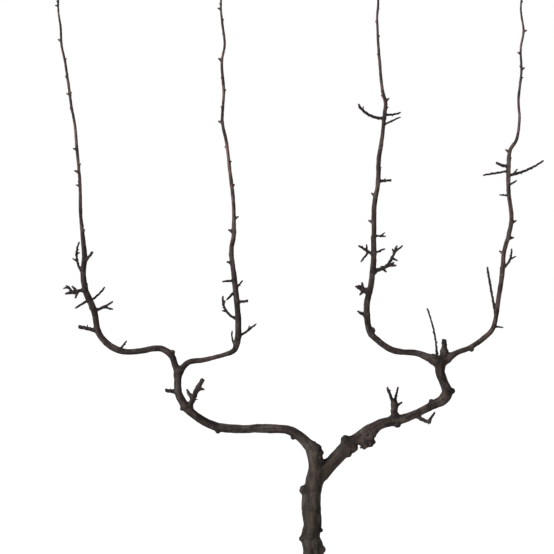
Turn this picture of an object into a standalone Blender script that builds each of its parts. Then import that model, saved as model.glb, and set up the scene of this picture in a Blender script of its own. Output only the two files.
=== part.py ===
"""An apple tree trained as a four-armed espalier, bare in winter.

A short trunk forks into two lower boughs. Each bough turns up into a riser, each riser
carries two branches, and each branch turns up into one of the four upright arms.
Metres, +Z up. The arms stand in the X-Z plane and the tree's front faces -Y.
The origin is the centre of the flat cut under the trunk, at ground level.
"""
import math
from collections import namedtuple

import bmesh
import bpy
import numpy as np

# ---- Driving dimensions -------------------------------------------------------------

GAP = 0.0003                 # clearance between neighbouring pieces
FORK_HEIGHT = 0.350          # ground to the fork
LOWER_TIER = 0.433           # height of the level stretch of the left lower bough
UPPER_TIER = 0.597           # height of the upper pair of branches
ARM_SPACING = 0.300          # between neighbouring arms
LEFT_OUTER_LINE = -0.470     # plumb line that the leftmost arm is trained along
LEFT_INNER_LINE = LEFT_OUTER_LINE + ARM_SPACING
RIGHT_INNER_LINE = LEFT_INNER_LINE + ARM_SPACING
RIGHT_OUTER_LINE = RIGHT_INNER_LINE + ARM_SPACING
ARM_TOP = 1.435              # height of the arms' tips

FLARE_GAIN = 0.48            # how much wider the trunk is at the ground
FLARE_HEIGHT = 0.030         # height over which the root flare dies away
FLARE_LOBES = 4              # root ridges round the flare, how far they stand out, their turn
FLARE_LOBE_GAIN = 0.30
FLARE_LOBE_TURN = 0.9
COLLAR_GAIN = 0.30           # swelling of a limb where it leaves the one that carries it
COLLAR_LENGTH = 0.012
DEPTH_WANDER = 0.006         # how far a limb strays to the front or the back
WANDER_WAVES = (0.46, 0.21, 0.09)    # wavelengths of that stray; the short ones are weaker
WANDER_FALL = 0.8
DEPTH_FADE = 0.20            # length over which a limb leaves its carrier's own depth
BARK_WAVE = 0.035            # unevenness of a limb's girth, as a share of its radius
BARK_LOBES = ((2, 0.11), (3, 0.07))  # lobes round the girth and the length of one full turn
KNOB_RISE = 0.05             # how far a knob's middle stands off the limb's side, by its width
KNOB_DEPTH = 0.90            # a knob's depth and height, as shares of its width
KNOB_HEIGHT = 1.05

TWIG_SHARE = 0.78            # a twig's thickness, as a share of its stem's
TWIG_ROOT = 0.3              # how far a twig starts inside its stem, by the stem's thickness
TWIG_TILT = 24               # degrees that a twig may lean off its stem's own lean
TWIG_BEND = 14               # degrees that a twig may curl
TWIG_CLEARANCE = 0.0012      # a twig that would come nearer to a limb is left out
BLUNT_TAPER = 0.80           # a stem's thickness at its end: where it was cut, or at a bud
BUD_TAPER = 0.74
BUD_LENGTH = 0.0055
BUD_SWELL = 1.25             # a bud's widest ring, by the shoot's radius under it
CUT_SHOULDER = 0.84          # the ring before a rounded cut end
TIP_RING = 0.30              # the last small ring of any end
LAST_STEP = 0.45             # how far before the end the last ring but one lies, by its length

SPLINE_STEPS = 14            # steps of a path from one station to the next
RING_STEP = {12: 0.018, 10: 0.013, 8: 0.012, 7: 0.015, 5: 0.022}    # ring spacing, by sides
STEM_STEP = 0.011            # ring spacing along a spur
STEM_SIDES = 5
TWIG_SIDES = 4
STEM_POINTS = 24             # points of a stem's path
FINE_LUMP = 0.0125           # lumps wider than this have smaller faces
CUTTER_REACH = 0.004         # limbs this near to a spur cut it clear
SPUR_SEED = 100              # the first spur's seed

WOOD = (0.075, 0.055, 0.048, 1.0)
YOUNG_WOOD = (0.105, 0.062, 0.052, 1.0)
SPUR_WOOD = (0.040, 0.030, 0.028, 1.0)
LIMB_ROUGHNESS = 0.85
SPUR_ROUGHNESS = 0.80
SHARP_EDGE = 50              # degrees

# ---- Limbs --------------------------------------------------------------------------
# A route is a chain of limbs that grow on from one another. Each limb passes through its
# stations: x, height, and its thickness there. The next limb starts where it ends.

Limb = namedtuple("Limb", "name sides stations")
Route = namedtuple("Route", "carried_by seed start limbs")


def trained(line, *stations):
    """Stations of an arm, given as its sway off the plumb line, height and thickness."""
    return [(line + sway, height, thick) for sway, height, thick in stations]


ROUTES = [
    Route((), 11, (0.000, 0.000, 0.0430), [
        Limb("trunk", 12, [
            (0.000, 0.040, 0.0400), (-0.001, 0.110, 0.0380), (0.002, 0.177, 0.0410),
            (-0.002, 0.207, 0.0370), (0.001, 0.230, 0.0370), (0.000, 0.267, 0.0385),
            (0.001, 0.297, 0.0370), (0.005, 0.327, 0.0330), (0.006, FORK_HEIGHT, 0.0285)]),
        Limb("left_lower_bough", 10, [
            (0.005, 0.364, 0.0262), (0.001, 0.382, 0.0245), (-0.008, 0.400, 0.0228),
            (-0.024, 0.415, 0.0214), (-0.045, 0.428, 0.0198), (-0.074, LOWER_TIER, 0.0182),
            (-0.176, LOWER_TIER, 0.0180), (-0.212, 0.442, 0.0182), (-0.239, 0.457, 0.0180)]),
        Limb("left_riser", 8, [
            (-0.259, 0.474, 0.0188), (-0.273, 0.494, 0.0176), (-0.281, 0.514, 0.0158),
            (-0.282, 0.551, 0.0152)]),
        Limb("left_outer_branch", 7, [
            (-0.288, 0.570, 0.0142), (-0.296, 0.588, 0.0136), (-0.312, 0.600, 0.0126),
            (-0.333, 0.602, 0.0124), (-0.357, UPPER_TIER, 0.0128),
            (-0.386, UPPER_TIER - 0.002, 0.0130), (-0.408, 0.599, 0.0134)]),
        Limb("left_outer_upright", 7, trained(
            LEFT_OUTER_LINE, (0.039, 0.612, 0.0136), (0.020, 0.637, 0.0135),
            (0.014, 0.672, 0.0132), (0.007, 0.694, 0.0132), (-0.005, 0.722, 0.0130),
            (-0.009, 0.757, 0.0124), (-0.007, 0.796, 0.0112), (-0.010, 0.836, 0.0090),
            (-0.015, 0.880, 0.0074))),
        Limb("left_outer_leader", 5, trained(
            LEFT_OUTER_LINE, (-0.016, 0.945, 0.0068), (-0.023, 1.015, 0.0066),
            (-0.029, 1.071, 0.0062), (-0.037, 1.121, 0.0058), (-0.046, 1.193, 0.0054),
            (-0.055, 1.236, 0.0049), (-0.057, 1.275, 0.0046), (-0.062, 1.322, 0.0042),
            (-0.059, ARM_TOP - 0.005, 0.0028)))]),
    Route(("left_riser", "left_outer_branch"), 12, (-0.281, 0.546, 0.0124), [
        Limb("left_inner_branch", 7, [
            (-0.270, 0.563, 0.0114), (-0.255, 0.574, 0.0112), (-0.227, 0.578, 0.0100),
            (-0.187, 0.588, 0.0100), (-0.165, 0.597, 0.0118)]),
        Limb("left_inner_upright", 7, trained(
            LEFT_INNER_LINE, (0.013, 0.615, 0.0134), (0.016, 0.641, 0.0132),
            (0.013, 0.695, 0.0126), (0.006, 0.756, 0.0110), (0.001, 0.808, 0.0098),
            (0.006, 0.842, 0.0092), (0.005, 0.909, 0.0080))),
        Limb("left_inner_leader", 5, trained(
            LEFT_INNER_LINE, (-0.001, 0.962, 0.0076), (-0.009, 1.031, 0.0068),
            (-0.018, 1.079, 0.0064), (-0.015, 1.136, 0.0060), (-0.019, 1.199, 0.0056),
            (-0.013, 1.240, 0.0052), (-0.019, 1.290, 0.0048), (-0.021, 1.330, 0.0044),
            (-0.015, ARM_TOP + 0.010, 0.0030)))]),
    Route(("trunk", "left_lower_bough"), 13, (0.003, 0.325, 0.0230), [
        Limb("right_lower_bough", 10, [
            (0.020, 0.340, 0.0262), (0.038, 0.357, 0.0284), (0.058, 0.380, 0.0286),
            (0.077, 0.400, 0.0244), (0.097, 0.414, 0.0206), (0.129, 0.434, 0.0206),
            (0.152, 0.444, 0.0204), (0.182, 0.451, 0.0194), (0.209, 0.459, 0.0182),
            (0.238, 0.473, 0.0172), (0.257, 0.483, 0.0182), (0.274, 0.492, 0.0212)]),
        Limb("right_riser", 10, [
            (0.284, 0.509, 0.0238), (0.275, 0.534, 0.0194), (0.269, 0.556, 0.0214),
            (0.272, 0.586, 0.0215)])]),
    Route(("right_riser",), 14, (0.270, 0.573, 0.0165), [
        Limb("right_inner_branch", 7, [
            (0.244, 0.583, 0.0160), (0.217, 0.592, 0.0134), (0.184, 0.595, 0.0128),
            (0.163, 0.601, 0.0130), (0.140, 0.617, 0.0136)]),
        Limb("right_inner_upright", 7, trained(
            RIGHT_INNER_LINE, (-0.008, 0.637, 0.0138), (-0.014, 0.667, 0.0132),
            (-0.013, 0.700, 0.0130), (-0.005, 0.741, 0.0126), (-0.001, 0.781, 0.0118),
            (0.000, 0.836, 0.0110), (0.001, 0.903, 0.0102))),
        Limb("right_inner_leader", 5, trained(
            RIGHT_INNER_LINE, (0.009, 0.951, 0.0098), (0.010, 0.997, 0.0094),
            (0.017, 1.039, 0.0086), (0.024, 1.100, 0.0078), (0.025, 1.120, 0.0075),
            (0.018, 1.148, 0.0069), (0.012, 1.207, 0.0061), (0.007, 1.290, 0.0053),
            (0.009, 1.330, 0.0047), (0.006, ARM_TOP - 0.018, 0.0030)))]),
    Route(("right_riser", "right_inner_branch"), 15, (0.274, 0.573, 0.0135), [
        Limb("right_outer_branch", 7, [
            (0.292, 0.586, 0.0132), (0.307, 0.594, 0.0112), (0.332, 0.603, 0.0110),
            (0.359, 0.621, 0.0104)]),
        Limb("right_outer_upright", 7, trained(
            RIGHT_OUTER_LINE, (-0.050, 0.642, 0.0103), (-0.042, 0.670, 0.0098),
            (-0.035, 0.720, 0.0100), (-0.027, 0.771, 0.0098), (-0.025, 0.804, 0.0094),
            (-0.015, 0.840, 0.0092), (-0.010, 0.876, 0.0090))),
        Limb("right_outer_leader", 5, trained(
            RIGHT_OUTER_LINE, (-0.017, 0.928, 0.0088), (-0.017, 0.976, 0.0090),
            (-0.014, 1.016, 0.0084), (0.001, 1.042, 0.0064), (0.006, 1.084, 0.0058),
            (0.005, 1.128, 0.0055), (0.012, 1.188, 0.0050), (0.011, 1.233, 0.0047),
            (0.016, 1.270, 0.0045), (0.011, 1.304, 0.0042), (0.010, 1.330, 0.0040),
            (0.016, ARM_TOP, 0.0028)))]),
]

# ---- Knobs --------------------------------------------------------------------------
# Healed cuts and swellings fused into a limb: x, height, width and forward reach. A knob sits
# on the limb's side in the direction of its x and height, turned to the front by its reach.

KNOBS = {
    "trunk": [(-0.018, 0.307, 0.019, 0.002), (-0.022, 0.204, 0.013, 0.004),
              (0.017, 0.181, 0.014, 0.007), (0.017, 0.222, 0.009, 0.004)],
    "left_lower_bough": [(-0.040, 0.415, 0.010, 0.000), (-0.197, 0.430, 0.010, 0.002)],
    "left_riser": [(-0.270, 0.478, 0.009, 0.002)],
    "left_outer_branch": [(-0.291, 0.595, 0.010, 0.000)],
    "left_outer_upright": [(-0.479, 0.848, 0.008, 0.003)],
    "left_outer_leader": [(-0.493, 0.943, 0.007, 0.000), (-0.499, 0.972, 0.009, 0.000),
                          (-0.497, 1.020, 0.007, 0.001), (-0.528, 1.248, 0.007, 0.000),
                          (-0.512, 1.136, 0.006, 0.001), (-0.535, 1.320, 0.006, 0.000)],
    "left_inner_upright": [(-0.171, 0.848, 0.010, 0.000), (-0.173, 0.782, 0.009, 0.000),
                           (-0.158, 0.876, 0.008, 0.001)],
    "left_inner_leader": [(-0.195, 1.207, 0.008, 0.000), (-0.192, 1.076, 0.008, 0.000),
                          (-0.195, 1.314, 0.007, 0.001)],
    "right_lower_bough": [(0.090, 0.388, 0.020, 0.003), (0.076, 0.381, 0.015, 0.005),
                          (0.068, 0.412, 0.019, 0.000), (0.181, 0.438, 0.013, 0.001),
                          (0.250, 0.492, 0.009, 0.000)],
    "right_riser": [(0.293, 0.512, 0.012, 0.000), (0.258, 0.5775, 0.023, 0.000),
                    (0.284, 0.580, 0.020, 0.000), (0.258, 0.590, 0.015, 0.001),
                    (0.287, 0.594, 0.013, 0.000)],
    "right_inner_upright": [(0.135, 0.643, 0.012, 0.002), (0.125, 0.868, 0.009, 0.000)],
    "right_inner_leader": [(0.127, 0.925, 0.008, 0.000), (0.162, 1.126, 0.008, 0.000)],
    "right_outer_branch": [(0.337, 0.597, 0.010, 0.000)],
    "right_outer_upright": [(0.423, 0.833, 0.010, 0.000), (0.399, 0.804, 0.008, 0.000),
                            (0.424, 0.868, 0.009, 0.000)],
    "right_outer_leader": [(0.410, 1.017, 0.008, 0.000), (0.444, 1.191, 0.007, 0.000),
                           (0.437, 1.224, 0.007, 0.001), (0.449, 1.270, 0.007, 0.000)],
}

# ---- Spurs: the short fruiting shoots. Each is one stem with its twigs ----------------
# Stem: base x and height on the limb, heading in degrees (0 points right, 90 up), length,
# thickness, how far it curls in all, and its lean towards the front. A twig leaves its stem
# at a share of its length, turned by some degrees, with a length and twigs of its own; its
# thickness is a share of its stem's.

Spur = namedtuple("Spur", "name limb base heading length thick curl lean blunt twigs")
Twig = namedtuple("Twig", "share turn length twigs slim")


def spur(name, limb, base, heading, length, thick, curl=0, lean=0, blunt=False, twigs=()):
    """One spur, with the plain values filled in."""
    return Spur(name, limb, base, heading, length, thick, curl, lean, blunt, twigs)


def twig(share, turn, length, *twigs, slim=TWIG_SHARE):
    """One side twig of a stem."""
    return Twig(share, turn, length, twigs, slim)


SPURS = [
    spur("left_bough_stub", "left_lower_bough", (0.011, 0.371), 87, 0.024, 0.0190, 4, 4, True),
    spur("left_riser_stub", "left_riser", (-0.280, 0.511), 172, 0.023, 0.0080, 0, 8, True),
    spur("left_riser_spur", "left_riser", (-0.257, 0.472), 77, 0.069, 0.0098, -22, 10, True,
         (twig(0.33, 54, 0.019, slim=0.86), twig(0.66, -50, 0.012))),
    spur("right_bough_burr", "right_lower_bough", (0.122, 0.424), 258, 0.025, 0.0205, -10, 8,
         True, (twig(0.48, 62, 0.009), twig(0.86, -44, 0.011, slim=0.46))),
    spur("right_bough_spur", "right_lower_bough", (0.174, 0.450), 90, 0.035, 0.0140, 0, -8, True,
         (twig(0.74, 19, 0.039, slim=0.50), twig(0.80, -9, 0.036, slim=0.42),
          twig(0.66, -58, 0.016, slim=0.44))),
    spur("right_bough_hook", "right_lower_bough", (0.218, 0.464), -54, 0.034, 0.0085, 52, 14,
         True, (twig(0.84, 60, 0.023, slim=0.66),)),
    spur("right_head_stub", "right_riser", (0.277, 0.578), 90, 0.038, 0.0110, 0, 6, True),
    spur("right_head_whip", "right_riser", (0.263, 0.574), 90, 0.108, 0.0047, 20, -6),
    spur("left_outer_spur_1", "left_outer_branch", (-0.404, 0.598), 52, 0.022, 0.0046, 0, 12),
    spur("left_outer_spur_2", "left_outer_upright", (-0.451, 0.638), 165, 0.037, 0.0080, 4, 4,
         True),
    spur("left_outer_spur_3", "left_outer_upright", (-0.457, 0.681), 18, 0.026, 0.0062, 8, -12,
         False, (twig(0.80, 8, 0.018), twig(0.72, -40, 0.016))),
    spur("left_outer_spur_4", "left_outer_upright", (-0.468, 0.704), 212, 0.030, 0.0050, 0, 18),
    spur("left_outer_spur_5", "left_outer_upright", (-0.469, 0.700), 30, 0.044, 0.0044, 28, -24),
    spur("left_outer_spur_6", "left_outer_upright", (-0.476, 0.726), 196, 0.038, 0.0070, -6, 0,
         False, (twig(0.44, -58, 0.013), twig(0.66, -60, 0.018, twig(0.7, 44, 0.010)),
                 twig(0.40, 60, 0.012))),
    spur("left_outer_spur_7", "left_outer_upright", (-0.482, 0.762), 124, 0.062, 0.0048, -58, 4,
         False, (twig(0.40, 56, 0.009), twig(0.60, -62, 0.005))),
    spur("left_outer_spur_8", "left_outer_upright", (-0.478, 0.781), 50, 0.028, 0.0058, 0, 16,
         True),
    spur("left_inner_spur_1", "left_inner_upright", (-0.158, 0.604), 128, 0.034, 0.0042, -46, 6),
    spur("left_inner_spur_2", "left_inner_upright", (-0.154, 0.627), 30, 0.042, 0.0046, 12, -10,
         False, (twig(0.55, 46, 0.007),)),
    spur("left_inner_spur_3", "left_inner_upright", (-0.157, 0.664), 163, 0.057, 0.0054, -82, 8,
         False, (twig(0.46, 50, 0.007), twig(0.74, -44, 0.006))),
    spur("left_inner_spur_4", "left_inner_upright", (-0.158, 0.700), -2, 0.021, 0.0058, 14, 12,
         True),
    spur("left_inner_spur_5", "left_inner_upright", (-0.161, 0.722), 226, 0.023, 0.0046, 0, 20),
    spur("left_inner_spur_6", "left_inner_upright", (-0.161, 0.726), 50, 0.021, 0.0044, 0, -20),
    spur("left_inner_spur_7", "left_inner_upright", (-0.163, 0.744), 184, 0.021, 0.0046, 0, 6),
    spur("left_inner_spur_8", "left_inner_leader", (-0.168, 0.940), 62, 0.024, 0.0044, 0, -72),
    spur("right_inner_spur_1", "right_inner_upright", (0.117, 0.668), 150, 0.019, 0.0068, 0, 6),
    spur("right_inner_spur_2", "right_inner_upright", (0.120, 0.720), 156, 0.026, 0.0098, 0, 10,
         False, (twig(0.34, 66, 0.011, slim=0.70), twig(0.52, -62, 0.010, slim=0.64))),
    spur("right_inner_spur_3", "right_inner_upright", (0.128, 0.761), 27, 0.044, 0.0076, -6, 0,
         False, (twig(0.70, 32, 0.045, twig(0.74, 40, 0.010), twig(0.88, 12, 0.012),
                      twig(0.84, -34, 0.018), twig(0.42, -72, 0.012)),
                 twig(0.80, -20, 0.012), twig(0.42, -56, 0.009))),
    spur("right_inner_spur_4", "right_inner_upright", (0.129, 0.798), 148, 0.034, 0.0056, 0, 14,
         False, (twig(0.34, 88, 0.024), twig(0.46, -62, 0.010))),
    spur("right_inner_spur_5", "right_inner_upright", (0.130, 0.801), 24, 0.023, 0.0046, 0, -16),
    spur("right_inner_spur_6", "right_inner_upright", (0.130, 0.838), 2, 0.021, 0.0044, -12, 10,
         False, (twig(0.60, 50, 0.009),)),
    spur("right_inner_spur_7", "right_inner_leader", (0.139, 0.953), 0, 0.026, 0.0056, 10,
         -12, True),
    spur("right_inner_spur_8", "right_inner_leader", (0.150, 1.072), 24, 0.038, 0.0040, 0, 18),
    spur("right_inner_spur_9", "right_inner_leader", (0.153, 1.086), 184, 0.063, 0.0062, -62, 4),
    spur("right_inner_spur_10", "right_inner_leader", (0.154, 1.094), -4, 0.034, 0.0046, 26, -20),
    spur("right_outer_spur_1", "right_outer_upright", (0.381, 0.648), -6, 0.018, 0.0042, 0, 14),
    spur("right_outer_spur_2", "right_outer_upright", (0.387, 0.672), 101, 0.099, 0.0052, -2, 0),
    spur("right_outer_spur_3", "right_outer_upright", (0.403, 0.770), 36, 0.044, 0.0048, 62, 8,
         False, (twig(0.50, -36, 0.013), twig(0.30, 58, 0.006))),
    spur("right_outer_spur_4", "right_outer_leader", (0.413, 0.923), 178, 0.018, 0.0036, 0, 14),
    spur("right_outer_spur_5", "right_outer_leader", (0.413, 0.944), 30, 0.020, 0.0040, 0, -22),
    spur("right_outer_spur_6", "right_outer_leader", (0.413, 0.975), 192, 0.052, 0.0046, -4, 6),
    spur("right_outer_spur_7", "right_outer_leader", (0.413, 0.965), 10, 0.078, 0.0052, 26, -4,
         False, (twig(0.14, 40, 0.012),)),
    spur("right_outer_spur_8", "right_outer_leader", (0.413, 0.984), 177, 0.025, 0.0064, -30, -6,
         True),
]


# ---- Paths --------------------------------------------------------------------------

def spline(points, per_span):
    """A Catmull-Rom curve through the points, with per_span steps from each to the next."""
    points = np.asarray(points, dtype=float)
    before = 2 * points[0] - points[1]
    after = 2 * points[-1] - points[-2]
    knots = np.vstack([before, points, after])
    share = np.linspace(0, 1, per_span, endpoint=False)[:, None]
    spans = []
    for a, b, c, d in zip(knots, knots[1:], knots[2:], knots[3:]):
        spans.append(0.5 * (2 * b + (c - a) * share + (2 * a - 5 * b + 4 * c - d) * share ** 2
                            + (3 * b - a - 3 * c + d) * share ** 3))
    return np.vstack(spans + [points[-1:]])


def lengths_along(points):
    """Distance along a path to each of its points."""
    steps = np.linalg.norm(np.diff(points, axis=0), axis=1)
    return np.concatenate([[0.0], np.cumsum(steps)])


def ways_on(points):
    """The unit direction in which a path goes on from each of its points."""
    ways = np.gradient(points, axis=0)
    return ways / np.linalg.norm(ways, axis=1)[:, None]


def wander(seed, along, reach):
    """A smooth seeded stray off a line, nought where the line starts."""
    rng = np.random.default_rng(seed)
    stray = np.zeros_like(along)
    for wavelength in WANDER_WAVES:
        phase = rng.uniform(0, 2 * math.pi)
        turn = 2 * math.pi * along / wavelength + phase
        share = (wavelength / WANDER_WAVES[0]) ** WANDER_FALL
        stray += reach * share * (np.sin(turn) - math.sin(phase))
    return stray


def route_paths(route, start_depth):
    """The path of each limb on a route: x, y, z, the thickness and the way on at each point."""
    stations = [route.start]
    for limb in route.limbs:
        stations.extend(limb.stations)
    curve = spline(stations, SPLINE_STEPS)
    along = lengths_along(curve[:, :2])
    fade = np.exp(-along / DEPTH_FADE)
    depth = start_depth * fade + wander(route.seed, along, DEPTH_WANDER)
    places = np.column_stack([curve[:, 0], depth, curve[:, 1]])
    dense = np.column_stack([places, curve[:, 2], ways_on(places)])
    paths = {}
    first = 0
    for limb in route.limbs:
        last = first + len(limb.stations) * SPLINE_STEPS
        paths[limb.name] = dense[first:last + 1]
        first = last
    return paths


def resampled(path, marks):
    """The path's values at some distances along it."""
    along = lengths_along(path[:, :3])
    return np.column_stack([np.interp(marks, along, column) for column in path.T])


def shaft_marks(start, stop, step, end, end_radius):
    """Distances of the rings along a limb: even, then a few over a round end or a bud."""
    tip_length = {"flat": 0.0, "round": end_radius, "bud": BUD_LENGTH}[end]
    body_end = stop - tip_length
    count = max(2, round((body_end - start) / step) + 1)
    marks = np.linspace(start, body_end, count)
    if end == "flat":
        return marks
    return np.append(marks, [stop - tip_length * LAST_STEP, stop])


def tipped(radii, end):
    """Closes in the last rings of a round end or a bud."""
    if end == "bud":
        radii[-2:] = np.array([BUD_SWELL, TIP_RING]) * radii[-3]
    elif end == "round":
        radii[-2:] = np.array([CUT_SHOULDER, TIP_RING]) * radii[-3]
    return radii


# ---- Meshes -------------------------------------------------------------------------

def frames_along(ways):
    """Two directions square to a path's way on at each point, turning as little as they can."""
    ways = ways / np.linalg.norm(ways, axis=1)[:, None]
    steepest = np.abs(ways).max(axis=0)
    guide = np.eye(3)[np.argmin(steepest)]
    side = guide - (ways @ guide)[:, None] * ways
    side /= np.linalg.norm(side, axis=1)[:, None]
    return side, np.cross(ways, side)


def tube(name, points, ways, radii, sides, seed=0, flare=False):
    """A closed round limb: one ring of points at each point of its path, and flat ends."""
    rng = np.random.default_rng(seed)
    side, up = frames_along(ways)
    angles = np.arange(sides) * 2 * math.pi / sides
    along = lengths_along(points)
    wave = np.zeros((len(points), sides))
    for lobes, wavelength in BARK_LOBES:
        phase = rng.uniform(0, 2 * math.pi)
        wave += np.sin(lobes * angles[None, :] + phase + 2 * math.pi * along[:, None] / wavelength)
    girth = radii[:, None] * (1 + BARK_WAVE * wave)
    if flare:
        spread = FLARE_GAIN * np.exp(-points[:, 2] / FLARE_HEIGHT)
        ridges = 1 + FLARE_LOBE_GAIN * np.cos(FLARE_LOBES * angles + FLARE_LOBE_TURN)
        girth *= 1 + spread[:, None] * ridges[None, :]
    rings = (points[:, None, :] + girth[..., None] * (
        np.cos(angles)[None, :, None] * side[:, None, :]
        + np.sin(angles)[None, :, None] * up[:, None, :]))
    if flare:
        rings[0, :, 2] = 0.0
    mesh = bpy.data.meshes.new(name)
    solid = bmesh.new()
    loops = [[solid.verts.new(corner) for corner in ring] for ring in rings]
    for lower, upper in zip(loops, loops[1:]):
        for index in range(sides):
            after = (index + 1) % sides
            solid.faces.new((lower[index], lower[after], upper[after]))
            solid.faces.new((lower[index], upper[after], upper[index]))
    solid.faces.new(loops[0][::-1])
    solid.faces.new(loops[-1])
    bmesh.ops.recalc_face_normals(solid, faces=solid.faces)
    solid.to_mesh(mesh)
    solid.free()
    piece = bpy.data.objects.new(name, mesh)
    bpy.context.scene.collection.objects.link(piece)
    return piece


def lump(name, centre, size):
    """A closed egg-shaped lump: its centre and its width, depth and height."""
    mesh = bpy.data.meshes.new(name)
    solid = bmesh.new()
    subdivisions = 2 if size[0] > FINE_LUMP else 1
    bmesh.ops.create_icosphere(solid, subdivisions=subdivisions, radius=0.5)
    for corner in solid.verts:
        corner.co = [place + value * span for place, value, span in zip(centre, corner.co, size)]
    solid.to_mesh(mesh)
    solid.free()
    piece = bpy.data.objects.new(name, mesh)
    bpy.context.scene.collection.objects.link(piece)
    return piece


def removed(piece):
    """Takes an object and its mesh out of the file."""
    mesh = piece.data
    bpy.data.objects.remove(piece)
    bpy.data.meshes.remove(mesh)


def applied(piece):
    """Replaces an object's mesh by what its modifiers make of it."""
    bpy.context.view_layer.update()
    evaluated = piece.evaluated_get(bpy.context.evaluated_depsgraph_get())
    made = bpy.data.meshes.new_from_object(evaluated)
    old = piece.data
    piece.modifiers.clear()
    piece.data = made
    bpy.data.meshes.remove(old)
    made.name = piece.name


def fused(piece, others):
    """One Boolean union on a collection joins the others to a piece."""
    if not others:
        return
    group = bpy.data.collections.new("to_join")
    bpy.context.scene.collection.children.link(group)
    for other in others:
        bpy.context.scene.collection.objects.unlink(other)
        group.objects.link(other)
    joint = piece.modifiers.new("join", "BOOLEAN")
    joint.operation = "UNION"
    joint.solver = "EXACT"
    joint.operand_type = "COLLECTION"
    joint.collection = group
    applied(piece)
    for other in others:
        removed(other)
    bpy.data.collections.remove(group)


def scraps_dropped(piece):
    """Keeps a piece's largest body, where a cut left loose scraps beside it."""
    solid = bmesh.new()
    solid.from_mesh(piece.data)
    unseen = set(solid.verts)
    bodies = []
    while unseen:
        front = [unseen.pop()]
        body = set(front)
        while front:
            corner = front.pop()
            for edge in corner.link_edges:
                far = edge.other_vert(corner)
                if far in unseen:
                    unseen.remove(far)
                    body.add(far)
                    front.append(far)
        bodies.append(body)
    largest = max(bodies, key=len)
    scraps = [corner for corner in solid.verts if corner not in largest]
    bmesh.ops.delete(solid, geom=scraps, context="VERTS")
    solid.to_mesh(piece.data)
    solid.free()


def cut_clear(piece, cutter):
    """Cuts a piece back to the surface of a cutter. The exact solver loses some limbs whole."""
    cut = piece.modifiers.new("clear", "BOOLEAN")
    cut.operation = "DIFFERENCE"
    cut.solver = "MANIFOLD"
    cut.object = cutter
    applied(piece)
    scraps_dropped(piece)


# ---- Limbs --------------------------------------------------------------------------

def limb_radii(path, points, starts_on_limb):
    """Radius along a limb, with the collar where it leaves the limb that carries it."""
    radii = points[:, 3] / 2
    if starts_on_limb:
        along = lengths_along(points[:, :3])
        clear = path[0, 3]
        beyond = np.maximum(along - clear, 0)
        radii = radii * (1 + COLLAR_GAIN * np.exp(-beyond / COLLAR_LENGTH))
    return radii


def make_limb(limb, path, first, last, grow=0.0):
    """One limb with its knobs fused on, grown by some clearance for a cutter."""
    length = lengths_along(path[:, :3])[-1]
    end = "flat"
    if last:
        end = "round" if limb.name == "right_riser" else "bud"
    start = 0.0 if first else GAP / 2
    stop = length if last else length - GAP / 2
    marks = shaft_marks(start, stop, RING_STEP[limb.sides], end, path[-1, 3] / 2)
    points = resampled(path, marks)
    points[0, :3] -= grow * path[0, 4:7]
    points[-1, :3] += grow * path[-1, 4:7]
    radii = tipped(limb_radii(path, points, first and limb.name != "trunk"), end) + grow
    seed = sum(ord(letter) for letter in limb.name)
    flare = limb.name == "trunk"
    body = tube(limb.name, points[:, :3], points[:, 4:7], radii, limb.sides, seed, flare)
    extras = []
    for x, height, width, forward in KNOBS.get(limb.name, ()):
        nearest = path[np.argmin(np.hypot(path[:, 0] - x, path[:, 2] - height))]
        outward = np.array([x - nearest[0], -forward, height - nearest[2]])
        outward *= (nearest[3] / 2 + width * KNOB_RISE) / np.linalg.norm(outward)
        size = np.array([width, width * KNOB_DEPTH, width * KNOB_HEIGHT]) + 2 * grow
        extras.append(lump(f"{limb.name}_knob", nearest[:3] + outward, size))
    fused(body, extras)
    return body


# ---- Spurs --------------------------------------------------------------------------

def curved_stem(base, heading, lean, length, curl):
    """A stem's path: it sets off along its heading and curls evenly to its end."""
    angles = np.radians(heading + curl * np.linspace(0, 1, STEM_POINTS))
    flat = math.cos(math.radians(lean))
    forward = np.full(STEM_POINTS, -math.sin(math.radians(lean)))
    step = np.column_stack([np.cos(angles) * flat, forward, np.sin(angles) * flat])
    middle = (step[1:] + step[:-1]) / 2 * (length / (STEM_POINTS - 1))
    return np.asarray(base) + np.vstack([np.zeros(3), np.cumsum(middle, axis=0)])


def touches_limb(points, thick, axes):
    """Whether a twig, past its own root, comes within reach of a limb."""
    outer = points[len(points) // 3:]
    for axis in axes.values():
        away = np.linalg.norm(outer[:, None, :] - axis[None, :, :3], axis=2)
        if np.any(away < axis[None, :, 3] / 2 + thick / 2 + TWIG_CLEARANCE):
            return True
    return False


def stem_tube(name, points, thick, sides, blunt, seed):
    """A spur's stem or twig, ending in a bud, or bluntly where it was cut back."""
    length = lengths_along(points)[-1]
    end = "round" if blunt else "bud"
    tip_share = BLUNT_TAPER if blunt else BUD_TAPER
    full = np.column_stack([points, np.linspace(thick, thick * tip_share, len(points))])
    marks = shaft_marks(0.0, length, STEM_STEP, end, thick * tip_share / 2)
    placed = resampled(full, marks)
    radii = tipped(placed[:, 3] / 2, end)
    return tube(name, placed[:, :3], ways_on(placed[:, :3]), radii, sides, seed)


def grow_twigs(name, twigs, points, heading, curl, lean, thick, axes, rng):
    """The twigs of a stem, and theirs in turn: all but those that would touch a limb."""
    made = []
    for item in twigs:
        index = round(item.share * (len(points) - 1))
        turned = heading + curl * item.share + item.turn
        tilt = lean + rng.uniform(-TWIG_TILT, TWIG_TILT)
        bend = rng.uniform(-TWIG_BEND, TWIG_BEND)
        width = thick * item.slim
        length = item.length + thick * TWIG_ROOT
        reach = curved_stem(points[index], turned, tilt, length, bend)
        if touches_limb(reach, width, axes):
            continue
        made.append(stem_tube(f"{name}_twig", reach, width, TWIG_SIDES, False, 0))
        made.extend(grow_twigs(name, item.twigs, reach, turned, bend, tilt, width, axes, rng))
    return made


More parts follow.
